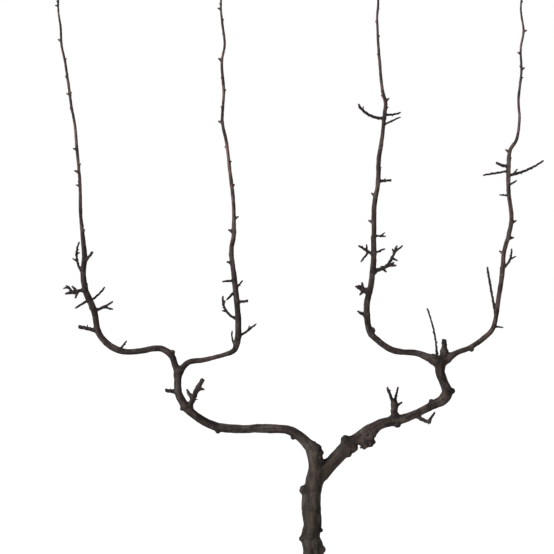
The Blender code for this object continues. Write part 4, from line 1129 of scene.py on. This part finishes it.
def knobs_grown():
    """Every healed knob, seated on its limb's side as in the solids, with its dimpled scar or,
    on a small knob of an arm, its fat bud."""
    buds = []
    for name, knobs in KNOBS.items():
        growth = LIMBS[name]
        path = PATHS[name]
        for x, height, width, forward in knobs:
            nearest = path[np.argmin(np.hypot(path[:, 0] - x, path[:, 2] - height))]
            outward = np.array([x - nearest[0], -forward, height - nearest[2]])
            outward /= np.linalg.norm(outward)
            centre = nearest[:3] + outward * (nearest[3] / 2 + width * KNOB_RISE)
            radius = width * KNOB_ROUND / 2
            is_spurlet = width < SPURLET_WIDTH and name.split("_")[-1] in NODES
            if is_spurlet:
                radius *= SPURLET_SHARE
            knobbed(growth, centre, radius)
            growth.balls.append((centre, radius))
            if is_spurlet:
                ring = np.argmin(np.linalg.norm(growth.centres - nearest[:3], axis=1))
                way = outward * SPURLET_WAY[0] + growth.ways[ring] * SPURLET_WAY[1]
                buds.append(bud_grid(centre + outward * radius * SPURLET_SEAT, way,
                                     width * SPURLET_BUD[0], width * SPURLET_BUD[1],
                                     len(buds)))
            else:
                scarred(growth, centre, outward, radius)
    return buds


def scarred(growth, centre, outward, radius):
    """A knob's old cut: a rolled rim round a sunk middle. With f the angle off the knob's axis
    it adds rim * exp(-((f - rim angle)/rim width)^2) - dip * exp(-(f/dip width)^2)."""
    away = growth.points() - centre
    reach = np.linalg.norm(away, axis=2)
    facing = np.arccos(np.clip((away @ outward) / np.maximum(reach, TINY), -1, 1))
    close = stepped(-reach, -SCAR_REACH[0] * radius, -SCAR_REACH[1] * radius)
    rim = np.exp(-((facing - SCAR_RIM_ANGLE) / SCAR_RIM_WIDTH) ** 2)
    dip = np.exp(-(facing / SCAR_DIP_WIDTH) ** 2)
    growth.bumps += radius * close * (SCAR_RIM * rim - SCAR_DIP * dip)
    growth.dark = np.maximum(growth.dark, close * (SCAR_SHADE + SCAR_DIP_SHADE * dip))


def forks_rounded():
    """Rounds each route's first limb into the limbs that carry it, and them into it."""
    for route in ROUTES:
        child = LIMBS[route.limbs[0].name]
        for name in route.carried_by:
            carrier = LIMBS[name]
            width = FORK_BLEND * child.radii[0] * 2
            joined_to(child, carrier.field(), width)
            joined_to(carrier, child.field(), width)


# ---- Buds -------------------------------------------------------------------------------

def bud_grid(base, way, length, width, seed):
    """A pointed bud of overlapping scales. With u from its foot to its tip the radius is
    width/2 (1 - u)^point (foot + gain u) / peak, and each scale's edge stands out as a saw
    tooth of rows u + a/pi. Its middle line bends aside by curve u^2."""
    rng = np.random.default_rng(seed)
    way = np.asarray(way) / np.linalg.norm(way)
    guide = np.eye(3)[np.argmin(np.abs(way))]
    side = np.cross(way, guide)
    side /= np.linalg.norm(side)
    up = np.cross(way, side)
    share = np.linspace(0, BUD_END, BUD_RINGS)[:, None]
    angles = np.arange(BUD_SIDES) * 2 * math.pi / BUD_SIDES
    profile = (1 - share) ** BUD_POINT * (BUD_FOOT + BUD_GAIN * share) / BUD_PEAK
    tooth = (BUD_ROWS * share + angles / math.pi + rng.uniform(0, 1)) % 1.0
    radius = width / 2 * profile * (1 + BUD_SCALE_EDGE * (0.5 - tooth))
    bend = side * math.cos(seed) + up * math.sin(seed)
    centres = base + length * (share * way + BUD_CURVE * share ** 2 * bend)
    rounds = np.cos(angles)[:, None] * side + np.sin(angles)[:, None] * up
    surface = centres[:, None, :] + radius[..., None] * rounds
    # relief gives painted light and shade across each scale, crack the painted shade under its edge
    looks = {"relief": 1 - 2 * tooth, "crack": stepped(tooth, SCALE_PAINTED_SHADE_FROM, 1.0),
             "spot": np.broadcast_to(share, tooth.shape)}
    return {"surface": surface, "looks": looks, "grain": surface}


def arm_nodes():
    """The buds up the arms: each a little above the last and two fifths of a turn round it, on
    a swelling of its own, with its leaf scar under it."""
    buds = []
    for name, growth in LIMBS.items():
        kind = name.split("_")[-1]
        if kind not in NODES:
            continue
        spacing, length, width = NODES[kind]
        rng = np.random.default_rng(growth.seed * 31 + len(name))
        mark = growth.along[0] + spacing * 0.5
        turn = rng.uniform(0, 2 * math.pi)
        while mark < growth.along[-1] - NODE_STOP:
            ring = int(np.searchsorted(growth.along, mark))
            column = int(turn / (2 * math.pi) * len(growth.angles)) % len(growth.angles)
            swollen(growth, mark, growth.angles[column], 2 * growth.radii[ring])
            out = growth.outs[ring, column]
            foot = growth.centres[ring] + out * growth.girth[ring, column] * NODE_SEAT
            way = NODE_WAY[0] * growth.ways[ring] + NODE_WAY[1] * out
            size = rng.uniform(*NODE_SIZES)
            buds.append(bud_grid(foot, way, length * size, width * size, len(buds)))
            mark += spacing * rng.uniform(*NODE_SPREAD)
            turn += 2 * math.pi * NODE_TURN + rng.uniform(-NODE_JITTER, NODE_JITTER)
            turn %= 2 * math.pi
        if kind == "leader":
            way = growth.ways[-1]
            buds.append(bud_grid(growth.centres[-1] - way * LEADER_BUD_SINK, way, BUD_LENGTH,
                                 TIP_BUD_WIDTH, len(buds)))
    return buds


def swollen(growth, mark, angle, thick):
    """The swelling under an arm's bud, and the dark leaf scar on it."""
    growth.bump(mark - NODE_SWELL_DROP, angle, NODE_SWELL * thick, NODE_SWELL_LENGTH,
                NODE_SWELL_WIDTH * thick)
    growth.bump(mark - LEAF_SCAR_DROP, angle, 0.0, LEAF_SCAR_LENGTH, LEAF_SCAR_WIDTH * thick,
                dark=LEAF_SCAR_SHADE)


def year_rings(growth, mark, height):
    """The crowded rings where one year's growth ended: a few small ridges round the limb,
    height * exp(-((s - ring)/ridge)^2), and a dark groove after each."""
    for ring in range(YEAR_RINGS):
        at = mark + ring * YEAR_RING_STEP
        ridge = np.exp(-((growth.along - at) / YEAR_RIDGE) ** 2)
        growth.bumps += height * ridge[:, None]
        groove = np.exp(-((growth.along - at - YEAR_RING_STEP / 2) / YEAR_GROOVE) ** 2)
        growth.dark = np.maximum(growth.dark, YEAR_SHADE * groove[:, None])


def years_marked():
    """Rings at the foot of each leader, and part of the way up each leader and upright."""
    for name, growth in LIMBS.items():
        shares, height = YEAR_MARKS.get(name.split("_")[-1], ((), 0.0))
        for share in shares:
            length = growth.along[-1] - growth.along[0]
            year_rings(growth, growth.along[0] + share * length, height)


# ---- Spurs ------------------------------------------------------------------------------

Shoot = namedtuple("Shoot", "growth points heading curl lean thick blunt")


def sides_for(thick):
    """How many sides a stem or twig of this thickness has."""
    return int(np.clip(round(math.pi * thick / STEM_SIDE_WIDTH), *STEM_SIDES))


def stem_growth(name, points, thick, sides, blunt, seed):
    """A spur's stem or twig, a little crooked, ending under its bud or at an old cut. Its path
    strays along each axis by sway * sin(2 pi s / wavelength + phase)."""
    length = lengths_along(points)[-1]
    tip_share = BLUNT_TAPER if blunt else BUD_TAPER
    width = np.linspace(thick, thick * tip_share, len(points)) + 2 * SPUR_COAT
    smooth = spline(np.column_stack([points, width]), STEM_STEPS)
    along = lengths_along(smooth[:, :3])
    stop = length if blunt else max(length - BUD_LENGTH * BUD_ROOM, length * LEAST_SHOOT)
    if name in LUMPY_STEMS:
        stop -= DOME_RISE * thick / 2
    marks = np.linspace(0, stop, max(FEWEST_RINGS, round(stop / STEM_CELL)))
    path = np.column_stack([np.interp(marks, along, column) for column in smooth.T])
    rng = np.random.default_rng(seed + 900)
    sway = np.minimum(marks / SWAY_FADE, 1) * thick * STEM_SWAY
    for axis, wavelength in enumerate(SWAY_WAVES):
        phase = rng.uniform(*SWAY_PHASES)
        path[:, axis] += sway * np.sin(2 * math.pi * marks / wavelength + phase)
    on_arm = name.split("_")[1] in ("outer", "inner")
    growth = Growth(name, path, sides, age=ARM_SPUR_AGE if on_arm else SPUR_AGE, seed=seed)
    lobed(growth, seed)
    knuckles(growth, thick, rng)
    if name in LUMPY_STEMS:
        growth.cap(DOME_END)
        lumps_grown(growth, LUMPY_STEMS[name] * thick)
    elif blunt:
        growth.cap(CUT_END, tilt=rng.uniform(-CUT_TILT, CUT_TILT))
    else:
        growth.cap(ROUND_END)
    growth.core = growth.girth.mean(axis=1)
    return growth


def lumps_grown(growth, height):
    """Lumps of healed wood all over a burr or an old head, height * (2 |noise| - level) over
    noise in space, with painted shade in a crease wherever the noise passes nought. It darkens
    upwards."""
    size = LUMP_SIZE * 2 * growth.radii[0]
    rise = noise(growth.points() / size, growth.seed + 50)
    growth.bumps += height * (2 * np.abs(rise) - LUMP_LEVEL)
    # painted shade along each crease between the lumps
    crease = CREASE_PAINTED_SHADE * np.exp(-(rise / CREASE_WIDTH) ** 2)
    top = TOP_SHADE * stepped(growth.along / growth.along[-1], *TOP_RANGE)
    growth.dark = np.maximum(growth.dark, np.maximum(crease, top[:, None]))


def knuckles(growth, thick, rng):
    """Swellings where a spur once flowered or grew on: r (1 + k exp(-((s - mark)/w)^2))."""
    mark = rng.uniform(*KNUCKLE_FIRST)
    while mark < growth.along[-1]:
        off = (growth.along - mark) / (KNUCKLE_LENGTH * thick)
        swell = rng.uniform(*KNUCKLE_SWELL) * np.exp(-off ** 2)
        growth.girth *= 1 + swell[:, None]
        mark += rng.uniform(*KNUCKLE_SPACING)


def touches_limb(points, thick):
    """Whether a twig, past its own root, comes within reach of a limb, as in the solids."""
    outer = points[len(points) // 3:]
    for path in PATHS.values():
        gap = clearance(outer, (path[:, :3], path[:, 3] / 2))
        if np.any(gap < thick / 2 + TWIG_CLEARANCE):
            return True
    return False


def grow_twigs(made, stem, twigs, rng, seed):
    """The twigs of a stem by the solids' rule and draws, each rounded into its stem."""
    for item in twigs:
        index = round(item.share * (len(stem.points) - 1))
        heading = stem.heading + stem.curl * item.share + item.turn
        lean = stem.lean + rng.uniform(-TWIG_TILT, TWIG_TILT)
        curl = rng.uniform(-TWIG_BEND, TWIG_BEND)
        thick = stem.thick * item.slim
        length = item.length + stem.thick * TWIG_ROOT
        points = curved_stem(stem.points[index], heading, lean, length, curl)
        if touches_limb(points, thick):
            continue
        growth = stem_growth(stem.growth.name, points, thick, sides_for(thick), False,
                             seed + len(made))
        joined_to(growth, stem.growth.field(), TWIG_BLEND * thick)
        joined_to(stem.growth, growth.field(), TWIG_BLEND * thick)
        shoot = Shoot(growth, points, heading, curl, lean, thick, False)
        made.append(shoot)
        grow_twigs(made, shoot, item.twigs, rng, seed)


def finer_twigs(made, rng, seed):
    """Finer growth yet, to the left and right of each stem by turns: on the stout spurs half of
    it short dards, on the slim shoots nearly all of it buds pressed to the wood."""
    dards = []
    buds = []
    for stem in made:
        length = lengths_along(stem.points)[-1]
        dard_share = DARD_SHARE if stem.thick > STOUT_STEM else SLIM_DARD_SHARE
        side = 1 if rng.uniform() < 0.5 else -1
        mark = max(FINE_FROM[0] * length, FINE_FROM[1]) + rng.uniform(0, FINE_SPACING[0])
        while length > SHORT_STEM and mark < length - FINE_STOP:
            place = mark / length
            heading = stem.heading + stem.curl * place + side * rng.uniform(*FINE_TURN)
            side = -side
            lean = stem.lean + rng.uniform(-FINE_TILT, FINE_TILT)
            thick = min(DARD_THICK, DARD_SLIM * stem.thick)
            reach = stem.thick / 2 + rng.uniform(*DARD_LENGTH)
            curl = rng.uniform(-FINE_BEND, FINE_BEND)
            base = stem.points[round(place * (len(stem.points) - 1))]
            points = curved_stem(base, heading, lean, reach, curl)
            is_dard = rng.uniform() < dard_share
            mark += rng.uniform(*FINE_SPACING)
            if touches_limb(points, thick):
                continue
            if is_dard:
                growth = stem_growth(stem.growth.name, points, thick, DARD_SIDES, False,
                                     seed + FINE_SEED + len(dards))
                joined_to(growth, stem.growth.field(), TWIG_BLEND * thick)
                dards.append(Shoot(growth, points, heading, curl, lean, thick, False))
            else:
                buds.append(side_bud(stem.growth, place, points, seed + len(buds)))
    return dards, buds


def side_bud(growth, place, path, seed):
    """A small bud pressed to a stem's side, where a path leaves it."""
    ring = round(place * (len(growth.along) - 1))
    way = growth.ways[ring]
    out = path[-1] - path[0]
    out = out - (out @ way) * way
    out /= np.linalg.norm(out)
    foot = growth.centres[ring] + out * growth.girth[ring].mean() * SIDE_BUD_SEAT
    return bud_grid(foot, way * SIDE_BUD_WAY[0] + out * SIDE_BUD_WAY[1], *SIDE_BUD, seed)


def tip_bud(shoot, seed):
    """The bud on a shoot's tip."""
    way = shoot.growth.ways[-1]
    width = min(max(TIP_BUD_WIDTH, TIP_BUD_SHARE * shoot.thick), TIP_BUD_WIDEST)
    size = THIN_BUD if shoot.thick < THIN_SHOOT else 1.0
    return bud_grid(shoot.growth.centres[-1] - way * TIP_BUD_SINK, way, BUD_LENGTH * size,
                    width * size, seed)


def rooted_stem(item, seed):
    """A spur's own stem by the solids' rule, rounded into the limbs that it stands on."""
    path = PATHS[item.limb]
    away = np.hypot(path[:, 0] - item.base[0], path[:, 2] - item.base[1])
    nearest = path[np.argmin(away)]
    base = (item.base[0], nearest[1], item.base[1])
    length = item.length + nearest[3] / 4
    points = curved_stem(base, item.heading, item.lean, length, item.curl)
    growth = stem_growth(item.name, points, item.thick, sides_for(item.thick), item.blunt, seed)
    width = (LUMPY_BLEND if item.name in LUMPY_STEMS else SPUR_BLEND) * item.thick
    for limb in LIMBS.values():
        if clearance(points[:ROOT_POINTS], limb.field()).min() < item.thick:
            joined_to(growth, limb.field(), width)
            joined_to(limb, growth.field(), width)
    return Shoot(growth, points, item.heading, item.curl, item.lean, item.thick, item.blunt)


def spur_growths():
    """Every spur: its stem, its twigs, the finer twigs on them, and a bud on each tip."""
    stems = {}
    dards = {}
    buds = []
    for index, item in enumerate(SPURS):
        rng = np.random.default_rng(SPUR_SEED + index)
        seed = BARK_SEED + index * SEED_STEP
        made = [rooted_stem(item, seed)]
        grow_twigs(made, made[0], item.twigs, rng, seed)
        fine, side_buds = finer_twigs(made, rng, seed)
        buds.extend(side_buds)
        for shoot in made + fine:
            if not shoot.blunt:
                buds.append(tip_bud(shoot, seed + len(buds)))
        stems[item.name] = [shoot.growth for shoot in made]
        dards[item.name] = [shoot.growth for shoot in fine]
    return stems, dards, buds


# ---- Finishes ---------------------------------------------------------------------------

def add_node(tree, kind, inputs=None, **settings):
    """Adds a node; an input is another node's socket, or a plain value for it."""
    made = tree.nodes.new(kind)
    for key, value in settings.items():
        setattr(made, key, value)
    for key, value in (inputs or {}).items():
        if isinstance(value, bpy.types.NodeSocket):
            tree.links.new(value, made.inputs[key])
        else:
            made.inputs[key].default_value = value
    return made


def mixed(tree, share, one, other):
    """The colour a share of the way from one to the other."""
    made = add_node(tree, "ShaderNodeMix", data_type="RGBA")
    for index, value in ((0, share), (6, one), (7, other)):
        if isinstance(value, bpy.types.NodeSocket):
            tree.links.new(value, made.inputs[index])
        elif index == 0:
            made.inputs[index].default_value = value
        else:
            made.inputs[index].default_value = (*value, 1.0)
    return made.outputs[2]


def reckoned(tree, kind, *values, clamp=True):
    """A sum, product or other function of numbers, cut to 0 … 1 unless `clamp` is off."""
    return add_node(tree, "ShaderNodeMath", dict(enumerate(values)), operation=kind,
                    use_clamp=clamp).outputs[0]


def times(tree, one, other):
    """The product of two numbers."""
    return reckoned(tree, "MULTIPLY", one, other)


def ranged(tree, value, low, high, to_low=0.0, to_high=1.0):
    """A number carried smoothly from one range to another."""
    inputs = {"Value": value, "From Min": low, "From Max": high, "To Min": to_low,
              "To Max": to_high}
    return add_node(tree, "ShaderNodeMapRange", inputs,
                    interpolation_type="SMOOTHSTEP").outputs["Result"]


def layer(tree, value, name):
    """How strong a layer of colour is, from the number that it follows."""
    return ranged(tree, value, *LAYERS[name])


def pattern(tree, vector, scale, detail):
    """Noise from 0 to 1, with its own scale along each axis."""
    placed = add_node(tree, "ShaderNodeMapping", {"Vector": vector, "Scale": scale})
    return add_node(tree, "ShaderNodeTexNoise", {"Vector": placed.outputs[0], "Scale": 1.0,
                                                 "Detail": detail}).outputs[0]


def mark_of(tree, name, output="Fac"):
    """One of the numbers or vectors kept on the mesh."""
    return add_node(tree, "ShaderNodeAttribute", attribute_name=name).outputs[output]


def plain_material(name):
    """A new material, its tree and its shader."""
    material = bpy.data.materials.new(name)
    material.use_nodes = True
    return material, material.node_tree, material.node_tree.nodes["Principled BSDF"]


def set_values(shader, values):
    """Sets plain values on a shader's own sockets."""
    for key, value in values.items():
        shader.inputs[key].default_value = value


def surfaced(tree, shader, colour, rough, rise, bump, shine):
    """Joins a finish's colour, roughness, finest relief and constants to its shader."""
    tree.links.new(colour, shader.inputs["Base Color"])
    tree.links.new(rough, shader.inputs["Roughness"])
    raised = add_node(tree, "ShaderNodeBump", {"Strength": bump[0], "Distance": bump[1],
                                               "Height": rise})
    tree.links.new(raised.outputs[0], shader.inputs["Normal"])
    set_values(shader, shine)


def wood_colour(tree, noises, age, tones):
    """The bark's own colour, in streaks and bands of two tones, and two others where young."""
    shade = reckoned(tree, "ADD", layer(tree, noises["streaks"], "streaks"),
                     layer(tree, noises["bands"], "bands"))
    old = mixed(tree, shade, tones["deep"], tones["brown"])
    young = mixed(tree, layer(tree, noises["streaks"], "young_streaks"), tones["young_deep"],
                  tones["young"])
    return mixed(tree, layer(tree, age, "grown"), young, old)


def sawn_colour(tree, grain, fine, tones):
    """Cut wood, in rings that follow sin(rate * distance from the stem's middle)."""
    level = add_node(tree, "ShaderNodeVectorMath", {0: grain, 1: (1.0, 1.0, 0.0)},
                     operation="MULTIPLY").outputs[0]
    reach = add_node(tree, "ShaderNodeVectorMath", {0: level}, operation="LENGTH").outputs["Value"]
    turns = reckoned(tree, "MULTIPLY", reach, SAW_RATE, clamp=False)
    rings = layer(tree, reckoned(tree, "SINE", turns, clamp=False), "saw_ring")
    sawn = mixed(tree, rings, tones["cut"], tones["cut_dark"])
    return mixed(tree, layer(tree, fine, "saw_pit"), sawn, tones["crack"])


def bark_finish(name, tones, roughness, speck, young_grey):
    """Bark: streaks of brown along the grain, reddish where young. Over them it is grey in blotches
    and lighter with painted light where it faces up, has dark stains and pale scurf, a painted
    highlight on its raised bark and painted shade in its low bark, darker furrows, olive round the
    fork, fine specks and pits, pale lenticels, and dark cracks with painted shade along the joins
    and in the lumps' creases. Old cuts show ringed wood. `speck` is how strong the specks are, and
    `young_grey` how much of the grey, the painted top light and the scurf young bark has."""
    material, tree, shader = plain_material(name)
    place = add_node(tree, "ShaderNodeTexCoord").outputs["Object"]
    height = add_node(tree, "ShaderNodeSeparateXYZ", {0: place}).outputs["Z"]
    normal = add_node(tree, "ShaderNodeNewGeometry").outputs["Normal"]
    upward = add_node(tree, "ShaderNodeSeparateXYZ", {0: normal}).outputs["Z"]
    grain = mark_of(tree, "grain", "Vector")
    marks = {key: mark_of(tree, key) for key in LOOKS}
    noises = {key: pattern(tree, grain if along else place, scale, detail)
              for key, (scale, detail, along) in NOISES.items()}

    settled = ranged(tree, marks["age"], 0.0, OLD_FROM, young_grey, 1.0)
    # painted light on bark that faces up, broken by the streaks
    painted_top_light = times(tree, layer(tree, upward, "upward"), layer(tree, noises["streaks"], "painted_top_light"))
    layers = (
        (times(tree, layer(tree, noises["blotches"], "grey"), settled), "grey"),
        (times(tree, painted_top_light, settled), "painted_top_light"),
        (layer(tree, noises["stains"], "stain"), "stain"),
        (times(tree, layer(tree, noises["scurf"], "scurf"), settled), "pale"),
        # painted highlight on raised bark and painted shade in low bark, by the relief
        (layer(tree, marks["relief"], "ridge"), "ridge"),
        (layer(tree, marks["relief"], "hollow_shade_and_furrows"), "hollow_shade_and_furrows"),
        (layer(tree, noises["furrows"], "furrow"), "hollow_shade_and_furrows"),
        (times(tree, layer(tree, height, "low"), layer(tree, noises["blotches"], "moss")),
         "moss"),
        (times(tree, layer(tree, noises["fine"], "speck"), speck), "ridge"),
        (times(tree, layer(tree, noises["fine"], "pit"), speck), "hollow_shade_and_furrows"),
        (times(tree, marks["spot"], SPOT_STRENGTH), "lenticel"),
        # dark cracks, grooves and scars, with painted shade along joins and in the lumps' creases
        (times(tree, marks["crack"], CRACK_STRENGTH), "crack"))
    colour = wood_colour(tree, noises, marks["age"], tones)
    for strength, tone in layers:
        colour = mixed(tree, strength, colour, tones[tone])
    colour = mixed(tree, marks["cut"], colour, sawn_colour(tree, grain, noises["fine"], tones))

    rough = ranged(tree, noises["streaks"], *ROUGH_RANGE, roughness + ROUGH_SPREAD[0],
                   roughness + ROUGH_SPREAD[1])
    rise = reckoned(tree, "ADD", *[times(tree, noises[key], share)
                                   for key, share in BARK_RISE.items()])
    surfaced(tree, shader, colour, rough, rise, BARK_BUMP, BARK_SHINE)
    return material


def bud_finish(name, tones):
    """Bud scales: red-brown, with painted light and shade across each scale by its relief and
    painted shade under each scale's edge, greyer and downy to the tip.
    """
    material, tree, shader = plain_material(name)
    place = add_node(tree, "ShaderNodeTexCoord").outputs["Object"]
    mottle = pattern(tree, place, *MOTTLE)
    down = times(tree, layer(tree, mark_of(tree, "spot"), "tip"), layer(tree, mottle, "down"))
    layers = (
        (layer(tree, mottle, "scale_grey"), "scale_grey"),
        (down, "down"),
        # painted shade under each scale's edge
        (times(tree, mark_of(tree, "crack"), SCALE_EDGE_SHADE_STRENGTH), "crack"))
    # painted light and shade across each scale, by its relief
    colour = mixed(tree, layer(tree, mark_of(tree, "relief"), "scale"), tones["scale_painted_shade"],
                   tones["scale"])
    for strength, tone in layers:
        colour = mixed(tree, strength, colour, tones[tone])
    surfaced(tree, shader, colour, layer(tree, mottle, "scale_rough"), mottle, BUD_BUMP,
             BUD_SHINE)
    return material


# ---- Pieces -----------------------------------------------------------------------------

def stem_names(side):
    """The spurs on one half of the tree, without the old heads."""
    names = [item.name for item in SPURS if item.name.startswith(side)]
    return [name for name in names if name not in LUMPY_STEMS]


def all_barked():
    """Puts the bark on every limb, on every spur with its twigs, and on every dard."""
    for name, growth in LIMBS.items():
        barked(growth, dash=LEADER_DASH if name.endswith("leader") else LENTICEL_DASH)
    for growths in STEMS.values():
        for growth in growths:
            share = min(1.0, 2 * growth.radii[0] / RING_THICK)
            if growth.name in LUMPY_STEMS:
                share = LUMPY_RINGS
            barked(growth, RING_HEIGHT * share)
    for growths in DARDS.values():
        for growth in growths:
            barked(growth, RING_HEIGHT * DARD_RINGS, DARD_RING_LENGTH)


LIMBS, PATHS = limb_growths()
SPURLET_BUDS = knobs_grown()
forks_rounded()
STEMS, DARDS, SPUR_BUDS = spur_growths()
ARM_BUDS = arm_nodes() + SPURLET_BUDS
years_marked()
all_barked()

OLD_BARK = bark_finish("old_bark", BARK_TONES, roughness=0.86, speck=0.55, young_grey=1.0)
YOUNG_BARK = bark_finish("young_bark", BARK_TONES, roughness=0.76, speck=0.30, young_grey=0.9)
SPUR_BARK = bark_finish("spur_bark", SPUR_TONES, roughness=0.86, speck=0.45, young_grey=0.25)
BUD_SCALES = bud_finish("bud_scales", BUD_TONES)

BARK_PIECES = {
    "trunk_bark": (["trunk"], OLD_BARK, "bark"),
    "left_boughs_bark": (["left_lower_bough", "left_riser"], OLD_BARK, "bark"),
    "right_boughs_bark": (["right_lower_bough", "right_riser"], OLD_BARK, "bark"),
    "left_arms_bark": (["left_outer_branch", "left_inner_branch", "left_outer_upright",
                        "left_inner_upright"], OLD_BARK, "bark"),
    "right_arms_bark": (["right_inner_branch", "right_outer_branch", "right_inner_upright",
                         "right_outer_upright"], OLD_BARK, "bark"),
    "left_leaders_bark": (["left_outer_leader", "left_inner_leader"], YOUNG_BARK, "young_bark"),
    "right_leaders_bark": (["right_inner_leader", "right_outer_leader"], YOUNG_BARK,
                           "young_bark"),
}
for piece_name, (names, finish, slot) in BARK_PIECES.items():
    mesh_piece(piece_name, grids_of(LIMBS[name] for name in names), finish, names)
for side in ("left", "right"):
    names = stem_names(side)
    mesh_piece(f"{side}_spurs", grids_of(shoot for name in names for shoot in STEMS[name]),
               SPUR_BARK, names)
mesh_piece("old_heads", grids_of(shoot for name in LUMPY_STEMS for shoot in STEMS[name]),
           OLD_BARK, list(LUMPY_STEMS))
mesh_piece("fine_twigs", grids_of(shoot for shoots in DARDS.values() for shoot in shoots),
           SPUR_BARK, list(DARDS))
mesh_piece("spur_buds", SPUR_BUDS, BUD_SCALES, list(STEMS))
mesh_piece("arm_buds", ARM_BUDS, BUD_SCALES,
           [name for name in LIMBS if name.endswith("leader")])


# ---- Floor, light and camera ----------------------------------------------------------------

def pale_floor():
    """A wide plain floor at ground level."""
    half = FLOOR_WIDTH / 2
    corners = [(-half, -half, 0), (half, -half, 0), (half, half, 0), (-half, half, 0)]
    mesh = bpy.data.meshes.new("floor")
    mesh.from_pydata(corners, [], [(0, 1, 2, 3)])
    material, _, shader = plain_material("pale_floor")
    set_values(shader, FLOOR_FINISH)
    mesh.materials.append(material)
    floor = bpy.data.objects.new("floor", mesh)
    bpy.context.scene.collection.objects.link(floor)


def aimed(piece, place, target):
    """Puts a lamp or the camera at a place, looking at a target."""
    piece.location = place
    piece.rotation_mode = "QUATERNION"
    piece.rotation_quaternion = (Vector(target) - Vector(place)).to_track_quat("-Z", "Y")
    bpy.context.scene.collection.objects.link(piece)


def soft_lamp(name, place, target, strength, angle):
    """A lamp as wide in the sky as a large softbox."""
    lamp = bpy.data.lights.new(name, "SUN")
    lamp.energy = strength
    lamp.angle = math.radians(angle)
    aimed(bpy.data.objects.new(name, lamp), place, target)


def white_room():
    """White all round, which shows at full strength and lights the tree at less."""
    world = bpy.data.worlds.new("white_room")
    world.use_nodes = True
    tree = world.node_tree
    shown = tree.nodes["Background"]
    shown.inputs["Color"].default_value = WHITE
    fill = add_node(tree, "ShaderNodeBackground", {"Color": WHITE, "Strength": ROOM_STRENGTH})
    seen = add_node(tree, "ShaderNodeLightPath").outputs["Is Camera Ray"]
    both = add_node(tree, "ShaderNodeMixShader", {0: seen, 1: fill.outputs[0],
                                                  2: shown.outputs[0]})
    tree.links.new(both.outputs[0], tree.nodes["World Output"].inputs["Surface"])
    bpy.context.scene.world = world


def studio():
    """White surroundings, a soft key from the front left, a weaker lamp behind, and the camera."""
    white_room()
    soft_lamp("key", KEY_PLACE, LAMP_TARGET, KEY_STRENGTH, KEY_ANGLE)
    soft_lamp("back", BACK_PLACE, LAMP_TARGET, BACK_STRENGTH, BACK_ANGLE)
    lens = bpy.data.cameras.new("camera")
    lens.lens = LENS
    lens.sensor_width = SENSOR
    lens.clip_end = CLIP_END
    eye = bpy.data.objects.new("camera", lens)
    aimed(eye, (VIEW_X, -VIEW_DISTANCE, VIEW_Z), (VIEW_X, 0.0, VIEW_Z))
    bpy.context.scene.camera = eye
    bpy.context.scene.view_settings.view_transform = "Standard"


pale_floor()
studio()
